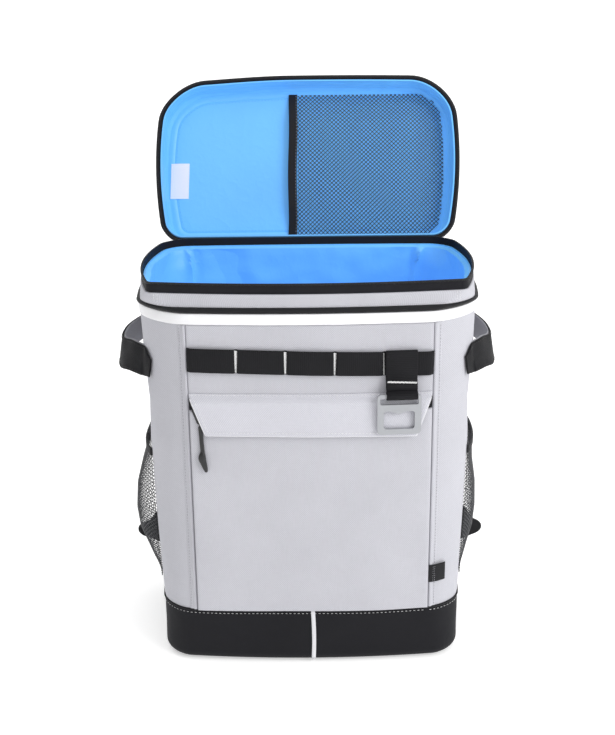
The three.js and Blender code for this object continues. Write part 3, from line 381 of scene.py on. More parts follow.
@dataclass(frozen=True)
class CoatedCloth(Look):
    """Smooth coated cloth, as the lining, the light band and the boot have.

    Attributes:
        roughness: middle roughness.
        grain: distance of the threads under the coat in millimetres.
        grain_depth: height of that grain in millimetres.
        crinkle: height of the small folds in millimetres.
        cloud: how much broad patches vary in colour.
        coat: weight of the coat.
        painted_glow: share of the colour given off as emission, painted light that brightens the cloth
            evenly though it is no lamp.
        shine: how much it reflects.
    """

    roughness: float = 0.42
    grain: float = 0.7
    grain_depth: float = 0.03
    crinkle: float = 0.5
    cloud: float = 0.06
    coat: float = 0.12
    painted_glow: float = 0.0
    shine: float = 0.4

    def make(self) -> bpy.types.Material:
        """Makes the material."""
        tree = ShaderTree(self.name)
        across, along, _ = tree.places()
        turn = math.pi / (self.grain * MM)
        weave = ((across * turn).sine() * (along * turn).sine()) * 0.5 + 0.5
        cloud = tree.swell(60, 2)
        fleck = tree.swell(0.9, 1)
        shade = 0.92 + (cloud - 0.5) * (2 * self.cloud) + (fleck - 0.5) * 0.06 + weave * 0.05
        dark = self.tone(0.05)
        tree.set("Base Color", tree.blend(shade.clamp(), dark, self.colour))
        tree.set("Roughness", (fleck * 0.14 + (self.roughness - 0.07)).clamp())
        tree.set("Coat Weight", self.coat)
        tree.set("Coat Roughness", 0.35)
        tree.set("Specular IOR Level", self.shine)
        # Painted light: the colour is also given off as emission, so the cloth glows though it is no lamp.
        if self.painted_glow:
            tree.set("Emission Color", self.colour)
            tree.set("Emission Strength", self.painted_glow)
        creases = 1 - abs(tree.swell(26, 3) * 2 - 1)
        folds = tree.swell(11, 2)
        height = creases ** 3 * 0.55 + folds * 0.45 + weave * (self.grain_depth / self.crinkle)
        tree.relief(height, self.crinkle)
        return tree.material


@dataclass(frozen=True)
class TwistedThread(Look):
    """Sewing thread."""

    def make(self) -> bpy.types.Material:
        """Makes the material."""
        tree = ShaderTree(self.name)
        twist = tree.swell(0.35, 2)
        fade = tree.swell(14, 1)
        dark = self.tone(0.55)
        tree.set("Base Color", tree.blend((twist * 0.7 + fade * 0.6).clamp(), dark, self.colour))
        tree.set("Roughness", (twist * 0.2 + 0.5).clamp())
        tree.relief(twist, 0.12)
        return tree.material


@dataclass(frozen=True)
class NetStrand(Look):
    """Knitted strands of a net."""

    def make(self) -> bpy.types.Material:
        """Makes the material."""
        tree = ShaderTree(self.name)
        loops = tree.swell(0.6, 2)
        light = self.tone(1.8, 0.004)
        tree.set("Base Color", tree.blend(loops, self.colour, light))
        tree.set("Roughness", (loops * 0.25 + 0.45).clamp())
        tree.set("Sheen Weight", 0.1)
        tree.relief(loops, 0.2)
        return tree.material


@dataclass(frozen=True)
class CastMetal(Look):
    """Light grey cast and tumbled metal."""

    def make(self) -> bpy.types.Material:
        """Makes the material."""
        tree = ShaderTree(self.name)
        grain = tree.swell(0.8, 3)
        brushed = tree.swell(1.5, 2, (0.15, 1, 3))
        worn = tree.swell(12, 2)
        dark = self.tone(0.82)
        shade = (brushed * 0.6 + worn * 0.5).clamp()
        tree.set("Base Color", tree.blend(shade, dark, self.colour))
        tree.set("Metallic", 0.55)
        tree.set("Roughness", (grain * 0.16 + brushed * 0.12 + 0.34).clamp())
        tree.relief(grain + brushed * 0.6, 0.05)
        return tree.material


@dataclass(frozen=True)
class MouldedPlastic(Look):
    """Moulded plastic with a fine grain.

    Attributes:
        roughness: middle roughness.
    """

    roughness: float = 0.4

    def make(self) -> bpy.types.Material:
        """Makes the material."""
        tree = ShaderTree(self.name)
        grain = tree.swell(0.5, 2)
        worn = tree.swell(9, 2)
        light = self.tone(1.5, 0.003)
        tree.set("Base Color", tree.blend((worn * 0.8 + grain * 0.2).clamp(), self.colour, light))
        tree.set("Roughness", (grain * 0.2 + (self.roughness - 0.1)).clamp())
        tree.relief(grain, 0.06)
        return tree.material


@dataclass(frozen=True)
class StudioPaper(Look):
    """The plain pale floor."""

    def make(self) -> bpy.types.Material:
        """Makes the material."""
        tree = ShaderTree(self.name)
        tree.set("Base Color", self.colour)
        tree.set("Emission Color", self.colour)
        tree.set("Emission Strength", 0.5)
        tree.set("Roughness", 0.9)
        tree.set("Specular IOR Level", 0.1)
        return tree.material


class Finish(Enum):
    """The finishes of the bag, each made once."""

    GREY = WovenCloth("grey_cloth", linear(204, 204, 211))
    FLAP = WovenCloth("flap_cloth", linear(216, 216, 224))
    PALE_EDGE = WovenCloth("pale_edging", linear(240, 240, 244), thread=0.6, crinkle=0.1)
    WHITE = CoatedCloth("white_band_cloth", linear(250, 250, 252), roughness=0.5, crinkle=0.25)
    # The blue lining glows a little: painted light that brightens its blue.
    LINING = CoatedCloth("blue_lining", linear(112, 190, 253), roughness=0.42, coat=0.04, painted_glow=0.17)
    BOOT = CoatedCloth(
        "black_boot_cloth", linear(27, 27, 31), roughness=0.62, grain=1.1, grain_depth=0.1,
        crinkle=0.35, cloud=0.12, coat=0.0, shine=0.16,
    )
    BLACK_EDGE = WovenCloth(
        "black_edging", linear(24, 24, 28), thread=0.7, contrast=0.4, crinkle=0.15, roughness=0.7
    )
    HANDLE_CLOTH = WovenCloth(
        "handle_lining_cloth", linear(166, 166, 172), thread=0.7, contrast=0.25, crinkle=0.5
    )
    WEBBING = Webbing("black_webbing", linear(25, 25, 28))
    ZIP_TAPE = Webbing("zip_tape", linear(28, 28, 33), rib=0.8, pick=1.1)
    NET = NetStrand("black_net", linear(20, 22, 28))
    WHITE_THREAD = TwistedThread("white_thread", linear(250, 250, 250))
    GREY_THREAD = TwistedThread("grey_thread", linear(168, 168, 174))
    BLACK_THREAD = TwistedThread("black_thread", linear(40, 40, 43))
    BLUE_THREAD = TwistedThread("blue_thread", linear(70, 150, 225))
    METAL = CastMetal("opener_metal", linear(178, 180, 184))
    BLACK_PLASTIC = MouldedPlastic("black_plastic", linear(22, 22, 24))
    TAG = CoatedCloth("tag_tape", linear(246, 246, 250), roughness=0.7, crinkle=0.12, coat=0.0)
    PAPER = StudioPaper("studio_paper", (0.9, 0.9, 0.9, 1.0))

    def material(self) -> bpy.types.Material:
        """Returns the finish's material, and makes it at its first use."""
        found = bpy.data.materials.get(self.value.name)
        return found or self.value.make()


# Meshes from rows of points


def build(
    name: str,
    points: Array,
    faces: Sequence[Sequence[int]],
    finish: Finish,
    corners: Array | None = None,
    crease: float = 50.0,
) -> bpy.types.Object:
    """Makes an object from points and faces.

    Args:
        name: name of the piece, which gets an ending if a node of the model has it.
        points: places in millimetres.
        faces: point numbers of each face.
        finish: its finish.
        corners: the UV place of each face corner, in millimetres.
        crease: angle in degrees above which an edge stays sharp.

    Returns:
        The object, linked to the scene.
    """
    label = f"{name}_look" if name in bpy.data.objects else name
    mesh = bpy.data.meshes.new(label)
    mesh.from_pydata((points.reshape(-1, 3) * MM).tolist(), [], list(faces))
    layer = mesh.uv_layers.new(name="UVMap")
    if corners is not None:
        layer.data.foreach_set("uv", (corners * MM).astype(np.float32).ravel())
    mesh.polygons.foreach_set("use_smooth", [True] * len(mesh.polygons))
    mesh.update()
    mesh.set_sharp_from_angle(angle=math.radians(crease))
    made = bpy.data.objects.new(label, mesh)
    bpy.context.scene.collection.objects.link(made)
    mesh.materials.append(finish.material())
    return made


def distances(points: Array) -> Array:
    """Running length along a row of points."""
    steps = np.linalg.norm(np.diff(points, axis=0), axis=1)
    return np.concatenate([[0.0], np.cumsum(steps)])


def sheet_faces(columns: int, rows: int, ring: bool, capped: bool) -> tuple[list, list]:
    """Faces of a closed sheet between an outer and an inner grid of points.

    Args:
        columns: points across.
        rows: points up.
        ring: whether the columns close around.
        capped: whether the bottom row is closed by a face on each skin.

    Returns:
        The faces, and for each of their corners its column and row.
    """
    faces: list[tuple[int, ...]] = []
    corners: list[tuple[int, int]] = []
    spans = columns if ring else columns - 1

    def at(skin: int, i: int, j: int) -> int:
        return (skin * columns + i % columns) * rows + j

    def add(*places: tuple[int, int, int]) -> None:
        faces.append(tuple(at(*place) for place in places))
        corners.extend((i, j) for _, i, j in places)

    top = rows - 1
    for i in range(spans):
        for j in range(top):
            add((0, i, j), (0, i + 1, j), (0, i + 1, j + 1), (0, i, j + 1))
            add((1, i, j), (1, i, j + 1), (1, i + 1, j + 1), (1, i + 1, j))
        if not capped:
            add((0, i, 0), (1, i, 0), (1, i + 1, 0), (0, i + 1, 0))
        add((0, i, top), (0, i + 1, top), (1, i + 1, top), (1, i, top))
    if capped:
        add(*[(0, i, 0) for i in reversed(range(columns))])
        add(*[(1, i, 0) for i in range(columns)])
    if not ring:
        for j in range(top):
            add((1, 0, j), (0, 0, j), (0, 0, j + 1), (1, 0, j + 1))
            add((1, spans, j), (1, spans, j + 1), (0, spans, j + 1), (0, spans, j))
    return faces, corners


def sheet(
    name: str,
    outer: Array,
    inner: Array,
    finish: Finish,
    ring: bool = False,
    capped: bool = False,
    crease: float = 50.0,
) -> bpy.types.Object:
    """Makes a closed sheet between two grids of points, indexed by column, row and axis.

    Args:
        name: name of the piece.
        outer: outer skin; seen from outside its columns run to the right and its rows upwards.
        inner: inner skin with as many points.
        finish: its finish.
        ring: whether the columns close around.
        capped: whether the bottom row is closed by a face on each skin.
        crease: angle in degrees above which an edge stays sharp.

    Returns:
        The object.
    """
    columns, rows = outer.shape[:2]
    faces, corners = sheet_faces(columns, rows, ring, capped)
    middle = outer[:, rows // 2]
    if ring:
        middle = np.concatenate([middle, middle[:1]])
    across = distances(middle)
    up = distances(outer[columns // 2])
    numbers = np.array(corners)
    places = np.stack([across[numbers[:, 0]], up[numbers[:, 1]]], axis=1)
    points = np.concatenate([outer.reshape(-1, 3), inner.reshape(-1, 3)])
    return build(name, points, faces, finish, places, crease)


def frames(path: Array, out: Array, closed: bool = False) -> tuple[Array, Array, Array]:
    """Directions along a path.

    Args:
        path: its points.
        out: roughly the direction that its outer face looks in, for each point.
        closed: whether the path closes.

    Returns:
        Unit vectors along the path, across it and out of its outer face.
    """
    if closed:
        along = unit(np.roll(path, -1, axis=0) - np.roll(path, 1, axis=0))
    else:
        along = unit(np.gradient(path, axis=0))
    across = unit(np.cross(out, along))
    return along, across, np.cross(along, across)


def sweep(
    name: str,
    path: Array,
    out: Array,
    profile: Array,
    finish: Finish,
    closed: bool = False,
    crease: float = 50.0,
) -> bpy.types.Object:
    """Makes a solid by moving a closed profile along a path.

    Args:
        name: name of the piece.
        path: points of the path.
        out: roughly the outward direction at each point, or one for all.
        profile: places across and out, for all points or for each, anticlockwise.
        finish: its finish.
        closed: whether the path closes.
        crease: angle in degrees above which an edge stays sharp.

    Returns:
        The object.
    """
    points, faces, corners = sweep_parts(path, out, profile, closed)
    return build(name, points, faces, finish, corners, crease)


def sweep_parts(
    path: Array, out: Array, profile: Array, closed: bool = False
) -> tuple[Array, list, Array]:
    """Points, faces and UV corners of a swept solid; see sweep."""
    out = np.broadcast_to(np.asarray(out, float), path.shape)
    profile = np.broadcast_to(profile, (len(path),) + np.asarray(profile).shape[-2:])
    _, across, outward = frames(path, out, closed)
    points = (
        path[:, None]
        + profile[..., :1] * across[:, None]
        + profile[..., 1:] * outward[:, None]
    )
    count, around = len(path), profile.shape[1]
    length = distances(np.concatenate([path, path[:1]]) if closed else path)
    girth = distances(np.concatenate([profile[0], profile[0][:1]]))
    faces: list[tuple[int, ...]] = []
    corners: list[tuple[float, float]] = []
    for i in range(count if closed else count - 1):
        for k in range(around):
            places = ((i, k), (i, k + 1), (i + 1, k + 1), (i + 1, k))
            faces.append(tuple((a % count) * around + b % around for a, b in places))
            corners.extend((length[a], girth[b]) for a, b in places)
    if not closed:
        ends = (list(range(around))[::-1], [(count - 1) * around + k for k in range(around)])
        for end in ends:
            faces.append(tuple(end))
            corners.extend((0.0, girth[k % around]) for k in end)
    return points.reshape(-1, 3), faces, np.array(corners)


def strip_profile(width: float, thick: float, steps: int = 3) -> Array:
    """Profile of a flat strip with round edges, standing on its inner face."""
    radius = thick / 2
    turns = np.linspace(-math.pi / 2, math.pi / 2, steps + 2)
    right = np.stack([width / 2 - radius + radius * np.cos(turns), radius + radius * np.sin(turns)], 1)
    middle = np.array([[0.0, thick]])
    left = np.stack([-right[::-1, 0], right[::-1, 1]], 1)
    return np.concatenate([right, middle, left, [[0.0, 0.0]]])


def round_profile(radius: float, steps: int = 8, out: float = 0.0) -> Array:
    """Profile of a cord."""
    turns = np.linspace(0, 2 * math.pi, steps, endpoint=False)
    return np.stack([radius * np.cos(turns), out + radius * np.sin(turns)], 1)


def smooth_path(points: Sequence[Sequence[float]], steps: int) -> Array:
    """Points of a smooth curve through given points, with as many steps between two of them."""
    rows = np.asarray(points, float)
    rows = np.concatenate([[2 * rows[0] - rows[1]], rows, [2 * rows[-1] - rows[-2]]])
    made = []
    for a, b, c, d in zip(rows, rows[1:], rows[2:], rows[3:]):
        for share in np.arange(steps) / steps:
            line = 2 * b + (c - a) * share + (2 * a - 5 * b + 4 * c - d) * share**2
            made.append(0.5 * (line + (3 * b - a - 3 * c + d) * share**3))
    return np.array([*made, rows[-2]])


def evenly(path: Array, count: int, *others: Array) -> tuple[Array, ...]:
    """Places a path, and others that run with it, again at even distances."""
    length = distances(path)
    wanted = np.linspace(0, length[-1], count)

    def again(rows: Array) -> Array:
        return np.stack([np.interp(wanted, length, column) for column in rows.T], 1)

    return tuple(again(rows) for rows in (path, *others))


# Small repeated things: stitches, zip coils and strands


@dataclass(frozen=True)
class Spindle:
    """A short thick thread, pointed at both ends, which stitches and zip coils are made of.

    Attributes:
        sides: faces around it.
    """

    sides: int = 5

    def parts(
        self, middles: Array, along: Array, out: Array, length: float, thick: float
    ) -> tuple[Array, list]:
        """Points and faces of many spindles.

        Args:
            middles: their middles.
            along: unit vectors along them.
            out: unit vectors out of the cloth.
            length: length of each.
            thick: thickness of each.

        Returns:
            The points and the faces.
        """
        across = unit(np.cross(along, out))
        turns = np.linspace(0, 2 * math.pi, self.sides, endpoint=False)
        rings = []
        for share in (-0.3, 0.3):
            ring = (
                middles[:, None]
                + share * length * along[:, None]
                + thick / 2 * np.cos(turns)[:, None] * across[:, None]
                + thick / 2 * np.sin(turns)[:, None] * out[:, None]
            )
            rings.append(ring)
        tips = [middles[:, None] + end * length * along[:, None] for end in (-0.5, 0.5)]
        points = np.concatenate([tips[0], *rings, tips[1]], axis=1)
        step, count = points.shape[1], self.sides
        one: list[tuple[int, ...]] = []
        for k in range(count):
            after = (k + 1) % count
            one.append((0, 1 + after, 1 + k))
            one.append((1 + k, 1 + after, 1 + count + after, 1 + count + k))
            one.append((step - 1, 1 + count + k, 1 + count + after))
        faces = [
            tuple(number + step * i for number in face) for i in range(len(middles)) for face in one
        ]
        return points.reshape(-1, 3), faces


def join_parts(parts: Sequence[tuple[Array, list]]) -> tuple[Array, list]:
    """Joins several lots of points and faces into one."""
    points, faces, start = [], [], 0
    for some, shapes in parts:
        points.append(some)
        faces.extend(tuple(number + start for number in shape) for shape in shapes)
        start += len(some)
    return np.concatenate(points), faces


def stitches(
    name: str,
    rows: Sequence[tuple[Array, Array]],
    finish: Finish,
    length: float = 2.5,
    gap: float = 1.1,
    thick: float = 0.55,
    sink: float = 0.05,
) -> bpy.types.Object:
    """Makes rows of stitches.

    Args:
        name: name of the piece.
        rows: for each row its path and the outward direction at each point.
        finish: the thread.
        length: length of a stitch.
        gap: distance of two stitches.
        thick: thickness of the thread.
        sink: how deep the thread lies in the cloth.

    Returns:
        The object.
    """
    parts = []
    for path, out in rows:
        total = distances(path)[-1]
        count = max(1, int(total // (length + gap)))
        fine, outward = evenly(path, 4 * count + 1, np.broadcast_to(out, path.shape))
        along = unit(np.gradient(fine, axis=0))[2::4][:count]
        outward = unit(outward)[2::4][:count]
        middles = fine[2::4][:count] + outward * (thick / 2 - sink)
        parts.append(Spindle().parts(middles, along, outward, length, thick))
    points, faces = join_parts(parts)
    return build(name, points, faces, finish, crease=80)


def coils(
    name: str,
    path: Array,
    out: Array,
    finish: Finish,
    width: float = 3.4,
    pitch: float = 1.5,
    closed: bool = False,
) -> bpy.types.Object:
    """Makes the coil of a zip: short thick turns side by side across a path.

    Args:
        name: name of the piece.
        path: middle of the coil.
        out: outward direction at each point.
        finish: its finish.
        width: length of a turn across the path.
        pitch: distance of two turns.
        closed: whether the path closes.

    Returns:
        The object.
    """
    rows = np.concatenate([path, path[:1]]) if closed else path
    outward = np.broadcast_to(np.asarray(out, float), path.shape)
    outs = np.concatenate([outward, outward[:1]]) if closed else outward
    count = int(distances(rows)[-1] // pitch)
    fine, outs = evenly(rows, count + 1, outs)
    outs = unit(outs)
    across = unit(np.cross(outs, np.gradient(fine, axis=0)))
    points, faces = Spindle().parts(fine[:count], across[:count], outs[:count], width, pitch * 0.86)
    return build(name, points, faces, finish, crease=80)


def bars(
    name: str,
    ends: Sequence[tuple[Array, Array, Array]],
    finish: Finish,
    width: float = 4.8,
    thick: float = 0.8,
) -> bpy.types.Object:
    """Makes bar tacks: dense zigzags between two ends.

    Args:
        name: name of the piece.
        ends: for each tack its two ends and its outward direction.
        finish: the thread.
        width: length of one turn across the tack.
        thick: thickness of the thread.

    Returns:
        The object.
    """
    parts = []
    for start, end, out in ends:
        total = float(np.linalg.norm(end - start))
        count = int(total / (thick * 0.8))
        share = (np.arange(count) + 0.5)[:, None] / count
        middles = start + (end - start) * share + out * thick * 0.35
        along = unit(np.cross(unit(end - start), out))
        turns = np.arange(count)
        lean = unit(end - start) * np.where(turns % 2, 0.3, -0.3)[:, None]
        middles = middles + along * (0.22 * np.sin(turns * 1.7) * np.cos(turns * 0.6))[:, None]
        outs = np.broadcast_to(out, middles.shape)
        parts.append(Spindle().parts(middles, unit(along + lean), outs, width, thick))
    points, faces = join_parts(parts)
    return build(name, points, faces, finish, crease=80)


def net(
    name: str,
    place: Callable[[Array, Array], tuple[Array, Array]],
    box: tuple[float, float, float, float],
    inside: Callable[[Array, Array], Array],
    finish: Finish,
    cell: tuple[float, float] = (4.9, 4.7),
    strand: float = 0.62,
) -> bpy.types.Object:
    """Makes a knitted net of two families of slanted strands, thicker where they cross.

    Args:
        name: name of the piece.
        place: gives the places and outward directions at flat places u and v.
        box: lowest and highest u, and lowest and highest v.
        inside: tells which flat places are in the net.
        finish: its finish.
        cell: width and height of a gap.
        strand: width of a strand between two crossings.

    Returns:
        The object.
    """
    left, right, bottom, top = box
    wide, high = cell
    rise = int(math.ceil((top - bottom) / high))
    run = int(math.ceil((right - left) / wide))
    parts = []
    for lean in (1, -1):
        for start in range(-rise - 1, run + 1) if lean > 0 else range(0, run + rise + 2):
            steps = np.arange(0, 4 * rise + 1) / 4
            u = left + wide * (start + lean * steps)
            v = bottom + high * steps
            good = inside(u, v) & (u >= left) & (u <= right) & (v <= top)
            numbers = np.flatnonzero(good)
            if len(numbers) < 3:
                continue
            for group in np.split(numbers, np.flatnonzero(np.diff(numbers) > 1) + 1):
                if len(group) < 3:
                    continue
                path, out = place(u[group], v[group])
                share = 1 + 0.75 * (group % 2 == 0)[:, None, None]
                square = np.array([[0.5, 0], [0, 0.42], [-0.5, 0], [0, -0.42]])
                profile = square * strand * share * np.array([1.15, 0.85])
                some, faces, _ = sweep_parts(path, out, profile)
                parts.append((some, faces))
    points, faces = join_parts(parts)
    return build(name, points, faces, finish, crease=80)


def puff(made: bpy.types.Object, voxel: float, pressure: float, cap: float) -> None:
    """Swells a closed form as stuffed cloth, by a cloth simulation whose result is kept.

    Args:
        made: the object; its mesh is replaced.
        voxel: size of the even mesh it gets, in millimetres.
        pressure: pressure inside.
        cap: the most that a point may move, in millimetres.
    """
    scene = bpy.context.scene
    remesh = made.modifiers.new("even", "REMESH")
    remesh.mode = "VOXEL"
    remesh.voxel_size = voxel * MM
    remesh.use_smooth_shade = True
    keep_modifiers(made)
    before = np.array([v.co for v in made.data.vertices])
    cloth = made.modifiers.new("stuffing", "CLOTH")
    cloth.settings.use_pressure = True
    cloth.settings.uniform_pressure_force = pressure
    cloth.settings.quality = 5
    cloth.settings.tension_stiffness = 30
    cloth.settings.effector_weights.gravity = 0
    for number in range(1, 21):
        scene.frame_set(number)
    depsgraph = bpy.context.evaluated_depsgraph_get()
    after = np.array([v.co for v in made.evaluated_get(depsgraph).data.vertices])
    made.modifiers.remove(cloth)
    scene.frame_set(1)
    moved = after - before
    reach = np.linalg.norm(moved, axis=1, keepdims=True)
    moved *= np.minimum(1, cap * MM / np.maximum(reach, 1e-9))
    made.data.vertices.foreach_set("co", (before + moved).astype(np.float32).ravel())
    finer = made.modifiers.new("finer", "SUBSURF")
    finer.levels = finer.render_levels = 1
    keep_modifiers(made)
    made.data.polygons.foreach_set("use_smooth", [True] * len(made.data.polygons))
    flat_places(made)


def keep_modifiers(made: bpy.types.Object) -> None:
    """Keeps the result of an object's modifiers as its mesh."""
    materials = list(made.data.materials)
    depsgraph = bpy.context.evaluated_depsgraph_get()
    mesh = bpy.data.meshes.new_from_object(made.evaluated_get(depsgraph))
    made.modifiers.clear()
    old = made.data
    made.data = mesh
    mesh.name = made.name
    mesh.materials.clear()
    for material in materials:
        mesh.materials.append(material)
    bpy.data.meshes.remove(old)


def flat_places(made: bpy.types.Object) -> None:
    """Gives a mesh UV places from its x and z, for a form that lies upright."""
    mesh = made.data
    layer = mesh.uv_layers.get("UVMap") or mesh.uv_layers.new(name="UVMap")
    places = np.zeros(len(mesh.vertices) * 3, np.float32)
    mesh.vertices.foreach_get("co", places)
    numbers = np.zeros(len(mesh.loops), np.int32)
    mesh.loops.foreach_get("vertex_index", numbers)
    rows = places.reshape(-1, 3)[numbers]
    slant = np.stack([rows[:, 0] + 0.4 * rows[:, 1], rows[:, 2] + 0.5 * rows[:, 1]], 1)
    layer.data.foreach_set("uv", slant.astype(np.float32).ravel())


def settle(
    made: bpy.types.Object, replaces: Sequence[str] = (), body: str = BAG
) -> bpy.types.Object:
    """Puts a finished piece on its body.

    Args:
        made: the piece.
        replaces: model nodes that it stands for.
        body: the body it moves with.

    Returns:
        The piece.
    """
    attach(made, body)
    if replaces:
        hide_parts(*replaces)
    log.info("%s: %d faces", made.name, len(made.data.polygons))
    return made


# The bag's form, in millimetres

# height, width, depth, corner, front bow and side bow, as shares of the body's
BODY_ROWS = np.array([
    (0.0, 0.94, 1.0, 0.55, 1.0, 0.8),
    (0.16, 0.947, 1.0, 0.66, 1.0, 0.9),
    (0.44, 0.965, 1.0, 0.9, 1.0, 1.0),
    (0.62, 0.978, 1.0, 0.92, 1.0, 0.9),
    (0.73, 0.97, 1.0, 0.95, 1.0, 0.9),
    (0.88, 0.985, 1.0, 1.0, 1.0, 1.2),
    (1.0, 0.994, 1.0, 1.0, 1.1, 1.1),
])
RIM_ROW = (0.952, 0.985, 0.5, 1.3, 1.9)
RIM_FRONT_CORNER = 0.25  # share of their radius that the rim's front corners keep
PANEL_SHIFT = 2.4  # how far right of the middle the front's pieces are sewn
GAP = 0.3
WALL = 6.0
BOOT_TOP = 62.0
PANEL_HALF = 122.5
PANEL_FACE = 1.9
POCKET_FACE = 4.6
ZIP_FACE = 3.6


def pattern(arc: int, long: int, short: int) -> Array:
    """Columns of a round-cornered rectangle, anticlockwise from the left end of the near side's corner.

    Args:
        arc: steps of a corner.
        long: steps of the near and far sides.
        short: steps of the other sides.

    Returns:
        For each column, where its arc's middle lies in x and y, and the direction from there.
    """
    rows = []
    ends = ((1, -1, -90), (1, 1, 0), (-1, 1, 90), (-1, -1, 180))
    for number, (x, y, start) in enumerate(ends):
        for share in np.linspace(0, 1, arc + 1):
            turn = math.radians(start + 90 * share)
            rows.append((x, y, math.cos(turn), math.sin(turn)))
        after_x, after_y, _ = ends[(number + 1) % 4]
        steps = long if number % 2 else short
        for share in np.linspace(0, 1, steps + 1)[1:-1]:
            rows.append((mix(x, after_x, share), mix(y, after_y, share), *rows[-1][2:]))
    return np.array(rows)


def bow_out(x: Array, y: Array, half: tuple, near: Array, far: Array, side: Array) -> tuple:
    """Moves points of a rounded rectangle outwards by the bows of its sides."""
    half_x, half_y = half
    bow = np.where(y < 0, near, far)
    moved_y = y + np.sign(y) * bow * (1 - (x / half_x) ** 2) * (y / half_y) ** 4
    moved_x = x + np.sign(x) * side * (1 - (y / half_y) ** 2) * (x / half_x) ** 4
    return moved_x, moved_y


def fall(past: Array, radius: Array) -> Array:
    """How far a round corner falls short of its square one, at a distance past its start."""
    past = np.clip(past, 0, radius)
    return radius - np.sqrt(radius**2 - past**2)


@dataclass(frozen=True)
class BodyForm:
    """The outside of the bag's body, with the soft dents of its padded walls.

    Attributes:
        width: across the straight sides at the top.
        depth: front to back.
        height: floor to the top of the light band.
        rim: height of the collar's top.
        corner: radius of the upright corners.
        bows: how far the middles of front, sides and back stand out.
        bottom_round: round between the sides and the floor.
        dent: depth of the soft dents.
    """

    width: float = 332.0
    depth: float = 196.0
    height: float = 390.0
    rim: float = 409.4
    corner: float = 48.0
    bows: tuple[float, float, float] = (10.0, 8.0, 3.0)
    bottom_round: float = 11.0
    dent: float = 1.5

    def plan(self, z: Array) -> tuple[Array, ...]:
        """Half sizes, corner radius, front bow and side bow at heights z."""
        above = np.clip((z - self.height) / (self.rim - self.height), 0, 1)
        share = np.clip(z / self.height, 0, 1)
        columns = [
            mix(np.interp(share, BODY_ROWS[:, 0], column), end, above)
            for column, end in zip(BODY_ROWS[:, 1:].T, RIM_ROW)
        ]
        sizes = (self.width / 2, self.depth / 2, self.corner, self.bows[0], self.bows[1])
        return tuple(column * size for column, size in zip(columns, sizes))

    def tight(self, z: Array) -> Array:
        """Share of their radius that the front corners keep, as the rim pulls them square."""
        above = np.clip((z - self.height) / (self.rim - self.height), 0, 1)
        return mix(1.0, RIM_FRONT_CORNER, above)

    def soften(self, points: Array) -> Array:
        """Presses the soft dents of the walls into points near the body."""
        z = points[..., 2]
        flat = points * np.array([1 / 160, 1 / 100, 0])
        out = unit(np.sign(flat) * np.abs(flat) ** 5)
        free = smooth_step(2, 40, z) * (1 - smooth_step(340, 388, z))
        swell = 0.75 * soft_noise(points, 150, 3) + 0.35 * soft_noise(points, 62, 8) - 0.3
        depth = self.dent * free * swell
        return points + out * depth[..., None]

    def ring(self, z: Array, offset: Array | float = 0.0, steps: tuple = (14, 60, 34)) -> Array:
        """Points around the body.

        Args:
            z: heights of the rows.
            offset: how far each row lies outside the body.
            steps: steps of a corner, of the long sides and of the short sides.

        Returns:
            Points by column, row and axis.
        """
        z = np.atleast_1d(np.asarray(z, float))
        shape = pattern(*steps)[:, None]
        half_x, half_y, corner, near, side = self.plan(z)
        half_x, half_y = half_x + offset, half_y + offset
        front_corner = np.where(shape[..., 1] < 0, self.tight(z), 1.0)
        radius = np.maximum(1, corner * front_corner + offset)
        x = shape[..., 0] * (half_x - radius) + radius * shape[..., 2]
        y = shape[..., 1] * (half_y - radius) + radius * shape[..., 3]
        x, y = bow_out(x, y, (half_x, half_y), near, self.bows[2], side)
        return self.soften(np.stack([x, y, np.broadcast_to(z, x.shape)], axis=-1))

    def face(self, x: Array, z: Array, offset: Array | float, way: int = -1) -> Array:
        """Points on the front, or with way 1 on the back, as far outside it as offset says."""
        x, z, offset = np.broadcast_arrays(*(np.asarray(row, float) for row in (x, z, offset)))
        half_x, half_y, corner, near, _ = self.plan(z)
        corner = corner * (self.tight(z) if way < 0 else 1.0)
        half_x, half_y, radius = half_x + offset, half_y + offset, corner + offset
        flat = way * (half_y - fall(np.abs(x) - (half_x - radius), radius))
        _, y = bow_out(x, flat, (half_x, half_y), near, self.bows[2], 0.0)
        return self.soften(np.stack([x, y, z], axis=-1))

    def flank(self, y: Array, z: Array, offset: Array | float, way: int = 1) -> Array:
        """Points on the right side, or with way -1 on the left, as far outside it as offset says."""
        y, z, offset = np.broadcast_arrays(*(np.asarray(row, float) for row in (y, z, offset)))
        half_x, half_y, corner, _, side = self.plan(z)
        half_x, half_y, radius = half_x + offset, half_y + offset, corner + offset
        flat = half_x - fall(np.abs(y) - (half_y - radius), radius)
        x, _ = bow_out(flat, y, (half_x, half_y), 0.0, 0.0, side)
        return self.soften(np.stack([way * x, y, z], axis=-1))

    def bowl(self, inset: float, rows: Sequence[float]) -> tuple[Array, Array]:
        """Heights and offsets of a bowl's rows: its round bottom first, then the given heights."""
        radius = self.bottom_round - inset
        turns = np.radians(np.linspace(0, 90, 9))
        low = self.bottom_round - radius * np.cos(turns)
        drawn_in = -inset - radius * (1 - np.sin(turns))
        heights = np.concatenate([low, [row for row in rows if row > self.bottom_round + 0.5]])
        return heights, np.concatenate([drawn_in, np.full(len(heights) - len(low), -inset)])


FORM = BodyForm()


def away_from_middle(points: Array) -> Array:
    """Level directions out of the bag at points of a ring around it."""
    return unit(points * np.array([1 / 166**2, 1 / 98**2, 0]))


def spread(low: float, high: float, count: int, edge: float = 1.6) -> Array:
    """Places from low to high, with extra ones near both ends where cloth edges are round."""
    near = edge * np.array([0, 0.12, 0.35, 0.65])
    middle = np.linspace(low + edge, high - edge, count)
    return np.concatenate([low + near, middle, (high - near)[::-1]])


def rounded(distance: Array, edge: float = 1.6) -> Array:
    """Share of its thickness that a piece of cloth has at a distance from its edge."""
    share = np.clip(distance / edge, 0, 1)
    return 0.08 + 0.92 * np.sqrt(1 - (1 - share) ** 2)


